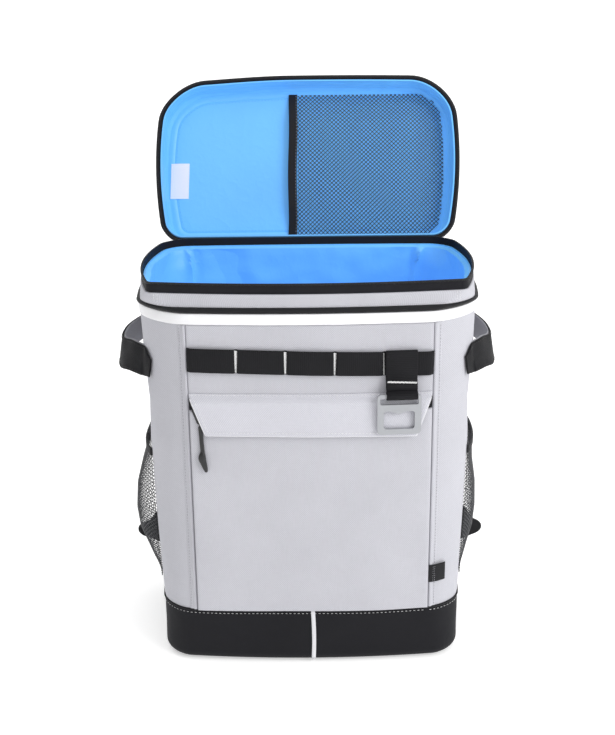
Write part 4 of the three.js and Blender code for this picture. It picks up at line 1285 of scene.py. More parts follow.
@dataclass(frozen=True)
class Patch:
    """A piece of cloth laid on a surface.

    Attributes:
        place: gives points for flat places u and v in millimetres and an offset.
        us: flat places across.
        vs: flat places up.
        inner: offset of its inner face.
        thick: its thickness.
        edge: how far its edges are rounded.
    """

    place: Callable[[Array, Array, Array], Array]
    us: Array
    vs: Array
    inner: float
    thick: float
    edge: float = 1.6

    def make(
        self, name: str, finish: Finish, lift: Callable[[Array, Array], Array] | None = None
    ) -> bpy.types.Object:
        """Makes the piece, lifted off its surface by a function of u and v."""
        u, v = np.meshgrid(self.us, self.vs, indexing="ij")
        sides = (u - self.us[0], self.us[-1] - u, v - self.vs[0], self.vs[-1] - v)
        inside = np.minimum.reduce(sides)
        under = self.inner + (lift(u, v) if lift else 0.0)
        outer = self.place(u, v, under + self.thick * rounded(inside, self.edge))
        return sheet(name, outer, self.place(u, v, under + 0 * u), finish)


def front(u: Array, v: Array, offset: Array) -> Array:
    """Places on the front by x and z; its pieces are sewn a little to the right of the middle."""
    return FORM.face(u + PANEL_SHIFT, v, offset)


def hoop(
    name: str, rows: Array, inner: Array | float, outer: Array, finish: Finish,
    ripple: Callable[[Array], Array] | None = None,
) -> bpy.types.Object:
    """Makes a band around the body between two offsets.

    Args:
        name: name of the piece.
        rows: heights.
        inner: offset of its inner face.
        outer: offset of its outer face at each height.
        finish: its finish.
        ripple: gives how far points of the outer face move outwards.

    Returns:
        The object.
    """
    outside = FORM.ring(rows, outer)
    inside = FORM.ring(rows, inner)
    if ripple:
        outside = outside + unit(outside - inside + 1e-6) * ripple(outside)[..., None]
    return sheet(name, outside, inside, finish, ring=True)


# The body

# x, depth, width and slant of the lining's creases
CREASE_ROWS = (
    (-133, 6.0, 3.0, 0.0), (-126, -2.5, 4.0, 0.0), (-100, -3.0, 17, 0.5), (-60, 1.0, 14, -0.12),
    (28, 0.8, 10, 0.1), (104, -2.4, 14, -0.4), (118, -2.0, 4.0, -0.1), (125, 5.5, 3.0, -0.1),
)


@dataclass(frozen=True)
class Body:
    """Boot, wall, lining and the bands of the rim.

    Attributes:
        boot_wall: thickness of the boot.
        lining_offset: how far the lining lies inside the body's form.
        lining_top: height of the lining's upper edge.
    """

    boot_wall: float = 2.0
    lining_offset: float = 7.2
    lining_top: float = 412.4

    def make(self) -> None:
        """Makes all of it."""
        self.boot()
        self.wall()
        self.lining()
        self.rim()

    def boot(self) -> None:
        """Makes the black boot with its edge, its stitch line and the piping at its front."""
        rows = [*np.linspace(13, 59.4, 14), 60.6, 61.5, BOOT_TOP]
        z, offset = FORM.bowl(0.0, rows)
        low = np.linspace(0.0, 1.0, len(z))
        inner_z, inner_offset = FORM.bowl(self.boot_wall, rows)
        offset = offset - self.boot_wall * 0.8 * (1 - rounded(BOOT_TOP - z, 1.4))
        outer, inner = FORM.ring(z, offset), FORM.ring(inner_z, inner_offset)
        free = smooth_step(0.3, 0.6, low) * (1 - smooth_step(0.9, 1.0, low))
        outer = outer + unit(outer - inner) * (free * 0.35 * soft_noise(outer, 30, 5))[..., None]
        settle(sheet("boot", outer, inner, Finish.BOOT, ring=True, capped=True), ["base_boot"])
        column = FORM.ring(np.array([57.8]), 0.02)[:, 0]
        out = away_from_middle(column)
        line = stitches("boot_stitches", [(column, out)], Finish.WHITE_THREAD, 2.4, 2.0, 0.55)
        settle(line)
        edge = FORM.ring(np.array([61.2]), 0.15)[:, 0]
        settle(
            sweep("boot_edge", edge, out, round_profile(0.9), Finish.BLACK_EDGE, closed=True)
        )
        self.foot_piping()

    def foot_piping(self) -> None:
        """Makes the light piping that runs up the middle of the boot's front."""
        z, offset = FORM.bowl(0.0, [*np.linspace(13, BOOT_TOP, 16)])
        z, offset = z[3:], offset[3:]
        path = front(0.8 * np.sin(z / 19), z, offset + GAP)
        out = unit(np.gradient(path, axis=0))[:, [0, 2, 1]] * np.array([0, -1, -1])
        piece = sweep("foot_piping", path, out, strip_profile(4.4, 1.4), Finish.PALE_EDGE)
        settle(piece, ["foot_piping"])

    def wall(self) -> None:
        """Makes the padded grey wall."""
        rows = [*np.linspace(13, 62, 8), 62.3, 63.2, *np.linspace(66, 386, 84), 388, 389.3, 390]
        z, offset = FORM.bowl(self.boot_wall + GAP, rows)
        offset = np.where(z < 62.2, offset, -0.9 * (1 - rounded(FORM.height - z, 1.5)))
        offset = np.where((z > 62.2) & (z < 64), -0.6, offset)
        inner_z, inner_offset = FORM.bowl(WALL, rows)
        outer, inner = FORM.ring(z, offset), FORM.ring(inner_z, inner_offset)
        piece = sheet("body_wall", outer, inner, Finish.GREY, ring=True, capped=True)
        settle(piece, ["body_shell"])

    def crease(self, points: Array) -> Array:
        """How far the lining stands in from its place, in folds and wrinkles."""
        x, y, z = points[..., 0], points[..., 1], points[..., 2]
        top = smooth_step(300, 380, z) * (1 - 0.75 * smooth_step(404, 412, z))
        folds = sum(
            depth * np.exp(-(((x - place - slant * (412 - z)) / width) ** 2))
            for place, depth, width, slant in CREASE_ROWS
        )
        rumple = 1.1 * soft_noise(points, 44, 21) + 0.6 * soft_noise(points, 19, 22)
        loose = smooth_step(9, 30, z) * (0.9 + rumple)
        return loose * (0.4 + 0.6 * top) + folds * top * (np.abs(y) > 60)

    def lining(self) -> None:
        """Makes the blue lining of the hollow, with its creases."""
        rows = [*np.linspace(13, 409.6, 94), 410.6, 411.4, 412.1, self.lining_top]
        z, offset = FORM.bowl(self.lining_offset, rows)
        flare = (self.lining_offset - 2.9) * smooth_step(409.5, 411.4, z)
        steps = (16, 110, 36)
        outer = FORM.ring(z, offset + flare, steps)
        inner_z, inner_offset = FORM.bowl(self.lining_offset + 1.5, rows)
        inner_offset = inner_offset + flare
        inner = FORM.ring(inner_z, inner_offset, steps)
        inner = inner - unit(outer - inner) * self.crease(inner)[..., None]
        piece = sheet("lining", outer, inner, Finish.LINING, ring=True, capped=True)
        settle(piece, ["inner_liner"])

    def rim(self) -> None:
        """Makes the light band, the piping, the collar and the zip tape of the rim."""
        rows = spread(378.4, 390.0, 6, 1.0)
        outer = 0.3 + rounded(np.minimum(rows - 378.4, 390.0 - rows), 1.0)
        band = hoop(
            "white_band", rows, 0.3, outer, Finish.WHITE,
            lambda points: 0.28 * soft_noise(points * np.array([1, 1, 2.2]), 17, 31),
        )
        settle(band, ["white_band"])
        turns = np.radians(np.linspace(-90, 90, 11))
        rows = 393.0 + 2.7 * np.sin(turns)
        piping = hoop(
            "rim_piping", rows, -6.0, 0.4 + 2.5 * np.cos(turns), Finish.BLACK_EDGE,
            lambda points: 0.12 * soft_noise(points, 12, 34),
        )
        settle(piping, ["body_piping"])
        rows = spread(396.0, 409.4, 8, 1.0)
        outer = -0.5 * (1 - rounded(np.minimum(rows - 396.0, 409.4 - rows), 1.0))
        collar = hoop(
            "collar", rows, -6.0, outer, Finish.GREY,
            lambda points: 0.3 * soft_noise(points, 34, 36) * smooth_step(396, 399, points[..., 2]),
        )
        settle(collar, ["collar"])
        self.collar_seams()
        self.rim_zip()

    def collar_seams(self) -> None:
        """Makes the upright seams near the collar's front corners."""
        z = np.linspace(396.6, 408.8, 8)
        rows = []
        for x in (-148.5, 148.5):
            for side in (-1.6, 1.6):
                path = FORM.face(x + side + 0 * z, z, 0.05)
                rows.append((path, np.array([0.35 * np.sign(x), -1, 0])))
        settle(stitches("collar_seams", rows, Finish.WHITE_THREAD, 1.9, 0.7, 0.4))

    def rim_zip(self) -> None:
        """Makes the zip tape that stands on the rim, with its coil."""
        rows = spread(409.7, 420.1, 8, 0.8)
        round_edge = rounded(np.minimum(rows - 409.7, 420.1 - rows), 0.8)
        tape = hoop("rim_zip_tape", rows, -2.3, -1.5 + 0.7 * round_edge, Finish.ZIP_TAPE)
        settle(tape, ["rim_zipper"])
        path = FORM.ring(np.array([419.2]), -0.75)[:, 0]
        out = away_from_middle(path)
        teeth = coils("rim_zip_coil", path, out, Finish.BLACK_PLASTIC, 2.4, 1.3, closed=True)
        settle(teeth)


# The front

# height and half width of the flap
FLAP_EDGE_ROWS = ((263.3, 105.8), (302.6, 120.9), (304.4, 122.0), (307.0, 122.2))
# share of the flap's height from its top, and share of its lift
FLAP_RISE_ROWS = ((0, 0), (0.07, 0), (0.105, 0.32), (0.18, 0.7), (0.75, 0.95), (1, 1))
FLAP_LIFT = 5.7
# share of the puller's height from its tip, and its x
PULLER_TURNS = ((0, -106.7), (0.22, -110.7), (0.31, -109.9), (0.76, -111.4), (1, -117.2))
# share of the puller's height, and shares of its full width and thickness
PULLER_ROWS = (
    (0, 0.3, 0.5), (0.012, 0.45, 0.75), (0.06, 0.6, 0.9), (0.14, 0.8, 1), (0.22, 1, 1),
    (0.27, 0.85, 0.9), (0.31, 0.53, 0.6), (0.715, 0.53, 0.6), (0.735, 0.2, 0.3),
    (0.75, 0.2, 0.3), (0.77, 0.68, 0.3), (0.97, 0.72, 0.3), (1, 0.6, 0.2),
)


@dataclass(frozen=True)
class Front:
    """Front panel, seams, webbing, pocket, puller and label.

    Attributes:
        flap_top: height of the flap's upper edge.
        flap_height: height of the flap.
        webbing_middle: height of the ladder webbing as sewn level.
        webbing_tilt: how far its middle lies higher, and its right end more than its middle.
        puller_top: height of the puller's upper end.
        puller_length: length of the puller.
        tacks: x of the bar tacks across the webbing.
    """

    flap_top: float = 307.0
    flap_height: float = 43.7
    webbing_middle: float = 337.8
    webbing_tilt: tuple[float, float] = (2.1, -2.8)
    puller_top: float = 292.2
    puller_length: float = 68.0
    tacks: tuple[float, ...] = (-74.2, -24.8, 23.5, 71.4)

    def make(self) -> None:
        """Makes all of it."""
        self.panel()
        self.seams()
        self.pocket()
        self.zip()
        self.flap()
        self.webbing()
        self.puller()
        self.label()

    def panel(self) -> None:
        """Makes the raised panel of the front."""
        us = spread(-PANEL_HALF, PANEL_HALF, 90)
        vs = spread(62.3, 378.1, 80)
        piece = Patch(front, us, vs, GAP, 1.6).make("front_panel", Finish.GREY)
        settle(piece, ["front_panel"])

    def seams(self) -> None:
        """Makes the ridges of the two upright seams, and their stitch lines."""
        rows = []
        for way, name in ((-1, "left"), (1, "right")):
            start = PANEL_HALF + GAP
            us = np.sort(way * spread(start, start + 8, 8, 1.2))
            vs = spread(62.3, 378.1, 110, 1.0)

            def ridge(u: Array, v: Array) -> Array:
                wobble = 0.5 * np.sin(v / 7.3) + 0.4 * np.sin(v / 3.1 + 1)
                near = np.abs(u) - start
                crest = 0.85 * np.exp(-(((near - 2.1 - 0.25 * wobble) / 1.3) ** 2))
                return crest - 0.75 * smooth_step(3, 5, near)

            strip = Patch(front, us, vs, GAP, 1.25, 1.2).make(f"seam_{name}", Finish.GREY, ridge)
            settle(strip, [f"seam_{name}"])
            z = np.linspace(64, 376, 160)
            rows.append((front(way * (start + 6.4) + 0 * z, z, 0.85), np.array([0.25 * way, -1, 0])))
        settle(stitches("seam_stitches", rows, Finish.GREY_THREAD, 1.7, 1.7, 0.6))

    def pocket(self) -> None:
        """Makes the pocket's panel."""
        us = spread(0.3 - PANEL_HALF, PANEL_HALF - 0.3, 90, 2.0)
        vs = spread(62.3, 289.2, 60, 2.0)

        def swell(u: Array, v: Array) -> Array:
            points = np.stack([u, 0 * u, v], axis=-1)
            return 0.35 * soft_noise(points, 60, 41) * smooth_step(0, 14, PANEL_HALF - np.abs(u))

        piece = Patch(front, us, vs, PANEL_FACE + GAP, 2.2, 2.0).make("pocket_panel", Finish.GREY, swell)
        settle(piece, ["pocket_panel"])

    def zip(self) -> None:
        """Makes the pocket's zip: its tape and its coil."""
        us = spread(0.3 - PANEL_HALF, PANEL_HALF - 0.3, 60, 0.6)
        vs = spread(289.5, 301.5, 5, 0.6)
        tape = Patch(front, us, vs, PANEL_FACE + GAP, 0.9, 0.6).make("pocket_zip_tape", Finish.ZIP_TAPE)
        settle(tape, ["pocket_zipper"])
        x = np.linspace(2 - PANEL_HALF, PANEL_HALF - 2, 120)
        path = front(x, 295.5 + 0 * x, PANEL_FACE + GAP + 1.05)
        teeth = coils("pocket_zip_coil", path, FORWARDS, Finish.BLACK_PLASTIC, 4.0, 1.5)
        settle(teeth)

    def flap_edge(self, v: Array) -> Array:
        """Half width of the flap at height v."""
        heights, halves = zip(*FLAP_EDGE_ROWS)
        return np.interp(v, heights, halves)

    def flap_place(self, u: Array, v: Array, offset: Array) -> Array:
        """Places on the flap by share across and height, offset from its inner face."""
        share = (self.flap_top - v) / self.flap_height
        rise = np.interp(share, *zip(*FLAP_RISE_ROWS))
        x = u * self.flap_edge(v)
        points = np.stack([x, 0 * x, v], axis=-1)
        wave = 0.5 * smooth_step(0.15, 0.6, share) * soft_noise(points, 52, 44)
        return front(x, v - 1.1 * u * share, PANEL_FACE + GAP + FLAP_LIFT * rise + wave + offset)

    def flap(self) -> None:
        """Makes the flap over the zip with its folded edges, creases and stitches."""
        low = self.flap_top - self.flap_height
        us = spread(-1, 1, 90, 0.012)
        vs = spread(low, self.flap_top, 34, 1.3)
        u, v = np.meshgrid(us, vs, indexing="ij")
        side = (1 - np.abs(u)) * self.flap_edge(v)
        inside = np.minimum(np.minimum(v - low, self.flap_top - v), side)
        hem = 0.45 * (1 - smooth_step(3.2, 4.6, np.minimum(v - low, side)))
        thick = 0.95 * rounded(inside, 1.3) + hem * rounded(inside, 1.3)
        piece = sheet(
            "pocket_flap", self.flap_place(u, v, thick), self.flap_place(u, v, 0 * v), Finish.FLAP
        )
        settle(piece, ["pocket_flap"])
        out = FORWARDS
        across = np.linspace(-1, 1, 200)
        top = self.flap_place(across * 0.985, 305.6 + 0 * across, 0.98 + 0 * across)
        rows = [(top, out)]
        inset = 1 - 3.9 / PANEL_HALF
        level = low + 3.9 + 0 * across
        rows.append((self.flap_place(across * (inset - 0.004), level, 1.05 + 0 * across), out))
        heights = np.linspace(low + 4.2, self.flap_top - 5, 30)
        for way in (-1, 1):
            shares = way * (1 - 3.9 / self.flap_edge(heights))
            rows.append((self.flap_place(shares, heights, 1.05 + 0 * heights), out))
        settle(stitches("flap_stitches", rows, Finish.WHITE_THREAD, 2.3, 1.2, 0.5))
        drop = np.linspace(self.flap_top - 5, low + 0.6, 16)
        bottom = np.linspace(-1, 1, 120)[1:-1]
        shares = np.concatenate([-1 + 0 * drop, bottom, 1 + 0 * drop])
        levels = np.concatenate([drop, low + 0.5 + 0 * bottom, drop[::-1]])
        fold = self.flap_place(shares, levels, 0.55 + 0 * levels)
        edging = sweep("flap_fold", fold, out, round_profile(0.75), Finish.PALE_EDGE)
        settle(edging)

    def webbing_level(self, x: Array) -> Array:
        """Height of the webbing's middle line at x: it hangs a little aslant."""
        rise, turn = self.webbing_tilt
        return self.webbing_middle + rise + turn * x / PANEL_HALF

    def webbing(self) -> None:
        """Makes the ladder webbing with its bays, and its tacks."""
        half = PANEL_HALF - 0.3
        bay = 2 * half / 5
        xs = np.sort(np.concatenate([np.linspace(-half, half, 160), *[
            -half + i * bay + np.array([-2.6, -1.8, -1, -0.4, 0.4, 1, 1.8, 2.6]) for i in range(1, 5)
        ]]))
        turn = np.abs((xs + half + bay / 2) % bay - bay / 2)
        lift = 2.05 * smooth_step(0.5, 3.2, turn) * (0.86 + 0.14 * np.sin(np.pi * np.clip(turn / bay, 0, 1)))
        path = front(xs, self.webbing_level(xs), PANEL_FACE + GAP + lift)
        profile = strip_profile(25.0, 1.3)
        piece = sweep("ladder_webbing", path, FORWARDS, profile, Finish.WEBBING)
        settle(piece, ["daisy_chain"])
        ends = []
        for number, x in enumerate(self.tacks):
            middle = self.webbing_level(x)
            low, high = middle - 11.2, middle + 11.3
            lean = (0.5, -0.3, 0.4, -0.4)[number]
            bottom = front(x - lean, low, PANEL_FACE + GAP + 1.35)
            top = front(x + lean, high, PANEL_FACE + GAP + 1.35)
            ends.append((bottom, top, FORWARDS))
        settle(bars("webbing_tacks", ends, Finish.WHITE_THREAD))

    def puller(self) -> None:
        """Makes the slider and the moulded puller on its cord."""
        us, vs = spread(-119.4, -111.6, 8, 1.2), spread(292.6, 298.4, 6, 1.2)
        body = Patch(front, us, vs, ZIP_FACE + GAP, 1.9, 1.2).make("zip_slider", Finish.BLACK_PLASTIC)
        settle(body, ["zip_slider"])
        share = np.linspace(0, 1, 110)
        z = self.puller_top - self.puller_length * (1 - share)
        x = np.interp(share, *zip(*PULLER_TURNS))
        x = np.convolve(np.pad(x, 3, mode="edge"), np.full(7, 1 / 7), mode="valid")
        shares, widths, thicks = zip(*PULLER_ROWS)
        wide = 4 * np.interp(share, shares, widths)
        thick = 2 * np.interp(share, shares, thicks)
        path = front(x, z, POCKET_FACE + GAP + thick)
        turns = np.linspace(0, 2 * np.pi, 14, endpoint=False)
        profile = np.stack([wide[:, None] * np.cos(turns), thick[:, None] * np.sin(turns)], axis=-1)
        pull = sweep("zip_puller", path, FORWARDS, profile, Finish.BLACK_PLASTIC, crease=60)
        settle(pull, ["zip_pull"])

    def label(self) -> None:
        """Makes the bare label tab in the right seam, with two stitch rows."""
        start = PANEL_HALF + GAP
        us, vs = spread(start, start + 18.5, 12, 0.5), spread(92, 112, 14, 0.5)
        inner = 2.4 + GAP
        tab = Patch(front, us, vs, inner, 0.7, 0.5).make(
            "label_tab", Finish.BLACK_EDGE, lambda u, v: 0.3 * np.sin(v / 5) * (u - start) / 17
        )
        settle(tab, ["label_tab"])
        z = np.linspace(93, 111, 20)
        rows = [
            (front(start + side + 0 * z, z, inner + 0.75), np.array([0.3, -1, 0]))
            for side in (4.6, 6.4)
        ]
        settle(stitches("label_stitches", rows, Finish.GREY_THREAD, 1.6, 0.9, 0.45))


@dataclass(frozen=True)
class Opener:
    """The bottle opener's webbing loop, which it hangs from.

    Attributes:
        middle: x of the hanger.
        pivot: height of the opener's bar.
        out: how far the bar stands off the body.
    """

    middle: float = 89.7
    pivot: float = 306.3
    out: float = 11.2

    def frame(self) -> tuple[Array, Array, Array]:
        """The bar's middle, and the directions to its right and out."""
        left, right = FORM_PLAIN.face(np.array([67.7, 111.7]), np.full(2, self.pivot), 0.0)
        across = unit(right - left)
        out = np.array([across[1], -across[0], 0.0])
        return FORM_PLAIN.face(self.middle, self.pivot, 0.0) + out * self.out, across, out

    def make(self) -> None:
        """Makes the loop and its tack."""
        origin, across, out = self.frame()
        hole = math.hypot(4.2, 3) / 2 + 0.4 + 0.65
        back, front_out, top = PANEL_FACE + GAP + 2.1 - 1.05, PANEL_FACE + GAP + 4.55, 350.3 + 1.05
        turns = np.radians(np.linspace(30, -210, 17))
        bar = np.stack([-hole * np.cos(turns), hole * np.sin(turns)], axis=1)
        to_bar = [(self.out - o, z - self.pivot) for o, z in (
            (back + 1.2, top), (back, top - 2), (back, 333), (back, 323), (self.out - hole - 1.0, 317.3),
            (self.out - hole - 0.6, 312.5),
        )]
        from_bar = [(self.out - o, z - self.pivot) for o, z in (
            (self.out - hole + 2.3, 313.0), (self.out - hole + 1.8, 317.0),
            (front_out, 322.5), (front_out, 333), (front_out, top - 2), (front_out - 1.2, top),
        )]
        flat = smooth_path([*to_bar, *bar[::4, :], *from_bar], 5)
        shift = across * 2.8
        path = origin + shift - flat[:, :1] * out + flat[:, 1:] * UPWARDS
        outward = unit(np.cross(across, np.gradient(path, axis=0)))
        if outward[len(outward) // 2] @ np.array([0, 0, -1.0]) < 0:
            outward = -outward
        profile = strip_profile(31.4, 1.15)
        profile = profile - np.array([0, 0.57])
        loop = sweep("opener_loop", path, outward, profile, Finish.WEBBING, closed=True)
        settle(loop, ["opener_loop"])
        level = origin + np.array([0, 0, 14.2]) + shift + out * (-hole + 3.0)
        fall_right = np.array([0, 0, 0.8])
        tack = bars(
            "opener_loop_tack",
            [(level - across * 14.6 + fall_right, level + across * 14.6 - fall_right, out)],
            Finish.WHITE_THREAD,
            2.3,
        )
        settle(tack)


FORM_PLAIN = BodyForm(dent=0.0)


# The sides

# shares of a handle's length from its front end, of its bulge and of its drop
HANDLE_ROWS = (
    (0, 0, 0.95), (0.035, 0, 0.8), (0.09, 0.02, 0.55), (0.2, 0.45, 0.5), (0.33, 0.86, 0.9),
    (0.48, 1, 1), (0.63, 0.9, 0.75), (0.77, 0.55, 0.4), (0.9, 0.02, 0.02), (0.94, 0, 0), (1, 0, 0),
)
HANDLE_START = -77  # y of the front end
HANDLE_LENGTH = 145
HANDLE_LEVEL = 333.5
# shares of a net pocket's height, and of its bulge there
NET_ROWS = ((0, 0), (0.12, 0.5), (0.3, 0.94), (0.45, 1), (0.65, 0.86), (0.85, 0.55))
NET_MOUTH_OUT = 7
NET_BOTTOM = 80
NET_HEIGHT = 142
NET_HALF = 62


@dataclass(frozen=True)
class Side:
    """The grab handle and the net pocket of one side.

    Attributes:
        name: left or right.
        way: -1 for left and 1 for right.
        handle_bulge: how far the handle stands out.
        net_bulge: how far the net pocket stands out.
    """

    name: str
    way: int
    handle_bulge: float
    net_bulge: float

    def make(self) -> None:
        """Makes all of it."""
        self.handle()
        self.net_pocket()

    def handle_path(self, offset: float) -> Array:
        """Middle line of the handle, at an offset from the body."""
        curve = smooth_path(HANDLE_ROWS, 9)
        along, out, down = curve.T
        y, z = HANDLE_START + along * HANDLE_LENGTH, HANDLE_LEVEL - down * 9 + along * 4
        points = FORM.flank(y, z, 0.0, self.way)
        points[:, 0] += self.way * (np.maximum(out, 0) * self.handle_bulge + offset)
        return evenly(points, 90)[0]

    def handle(self) -> None:
        """Makes the webbing of the handle, its cloth lining and its stitches."""
        out = np.array([self.way, 0, 0.16])
        path = self.handle_path(GAP + 2.0 + GAP)
        width = np.full(len(path), 32.0)
        front_end = distances(path)
        width = width - 11 * (1 - smooth_step(0, 13, front_end))
        profiles = np.array([strip_profile(wide, 1.9) for wide in width])
        webbing = sweep(f"handle_{self.name}", path, out, profiles, Finish.WEBBING)
        settle(webbing, [f"handle_{self.name}"])
        under = self.handle_path(GAP)[9:]
        lining = self.soft_strip(f"handle_lining_{self.name}", under, out, 33.0, 1.9)
        settle(lining, [f"handle_lining_{self.name}"])
        _, across, outward = frames(path, np.broadcast_to(out, path.shape))
        rows = []
        for side in (-13.6, 13.6):
            line = path + across * side + outward * 1.95
            rows.append((line[8:-6], outward[8:-6]))
        settle(
            stitches(f"handle_stitches_{self.name}", rows, Finish.BLACK_THREAD, 2.6, 1.2, 0.6)
        )

    def soft_strip(
        self, name: str, path: Array, out: Array, width: float, thick: float
    ) -> bpy.types.Object:
        """Makes the wrinkled cloth strip inside the handle."""
        _, across, outward = frames(path, np.broadcast_to(out, path.shape))
        sides = spread(-width / 2, width / 2, 16, 1.2)
        length = distances(path)
        inside = np.minimum(width / 2 - np.abs(sides), 3.0)
        fold = np.sin((length[:, None] + 0.7 * sides[None]) / 3.4) * 0.5 + 0.5
        fold = 0.75 * fold * (0.5 + 0.5 * np.sin(length[:, None] / 9.0 + 1.3))
        base = path[:, None] + across[:, None] * sides[None, :, None]
        low = (thick * 0.45) * (1 - rounded(inside, 1.2))[None, :, None] + fold[..., None] * 0.9
        high = thick * 0.5 + (thick * 0.45) * rounded(inside, 1.2)[None, :, None]
        outer, under = base + outward[:, None] * high, base + outward[:, None] * low
        if np.cross(outward[0], across[0]) @ (path[1] - path[0]) < 0:
            outer, under = outer[::-1], under[::-1]
        return sheet(name, outer, under, Finish.HANDLE_CLOTH)

    def net_offset(self, y: Array, z: Array) -> Array:
        """How far the net pocket stands off the body at y and z."""
        shares, outs = zip(*NET_ROWS, (1, NET_MOUTH_OUT / self.net_bulge))
        height = np.clip((z - NET_BOTTOM) / NET_HEIGHT, 0, 1)
        span = 1 - np.abs(np.clip(y / NET_HALF, -1, 1)) ** 2.6
        return GAP + self.net_bulge * np.interp(height, shares, outs) * span

    def net_place(self, u: Array, v: Array) -> tuple[Array, Array]:
        """Places on the net, and outward directions."""
        y = u * -self.way
        points = FORM.flank(y, v, self.net_offset(y, v) + 0.6, self.way)
        return points, np.broadcast_to(np.array([self.way, 0, 0.0]), points.shape)

    def net_pocket(self) -> None:
        """Makes the net, its elastic mouth and the stitches."""
        pocket = net(
            f"net_{self.name}", self.net_place, (-61, 61, 80.6, 222.4),
            lambda u, v: np.abs(u) < 61.5, Finish.NET, (4.6, 4.5), 0.6,
        )
        settle(pocket, [f"net_{self.name}"])
        us, vs = spread(-62, 62, 60, 0.8), spread(222.3, 231.3, 8, 0.8)
        u, v = np.meshgrid(us, vs, indexing="ij")
        y = u * self.way
        inside = np.minimum(np.minimum(u - us[0], us[-1] - u), np.minimum(v - vs[0], vs[-1] - v))
        gather = 0.25 * np.sin(u / 0.85) * smooth_step(0, 1.5, inside)
        offset = self.net_offset(y, v)
        outer = FORM.flank(y, v, offset + 1.8 * rounded(inside, 0.8) + gather, self.way)
        inner = FORM.flank(y, v, offset, self.way)
        binding = sheet(f"net_binding_{self.name}", outer, inner, Finish.BLACK_EDGE)
        settle(binding, [f"net_binding_{self.name}"])
        rows = []
        for y_edge in (-61.2, 61.2):
            z = np.linspace(82, 230, 60)
            rows.append((FORM.flank(y_edge + 0 * z, z, GAP + 0.9, self.way), np.array([self.way, 0, 0])))
        y = np.linspace(-61, 61, 60)
        rows.append((FORM.flank(y, 80.8 + 0 * y, GAP + 0.9, self.way), np.array([self.way, 0, 0])))
        settle(stitches(f"net_stitches_{self.name}", rows, Finish.BLACK_THREAD, 2.2, 0.8, 0.8))


# The lid


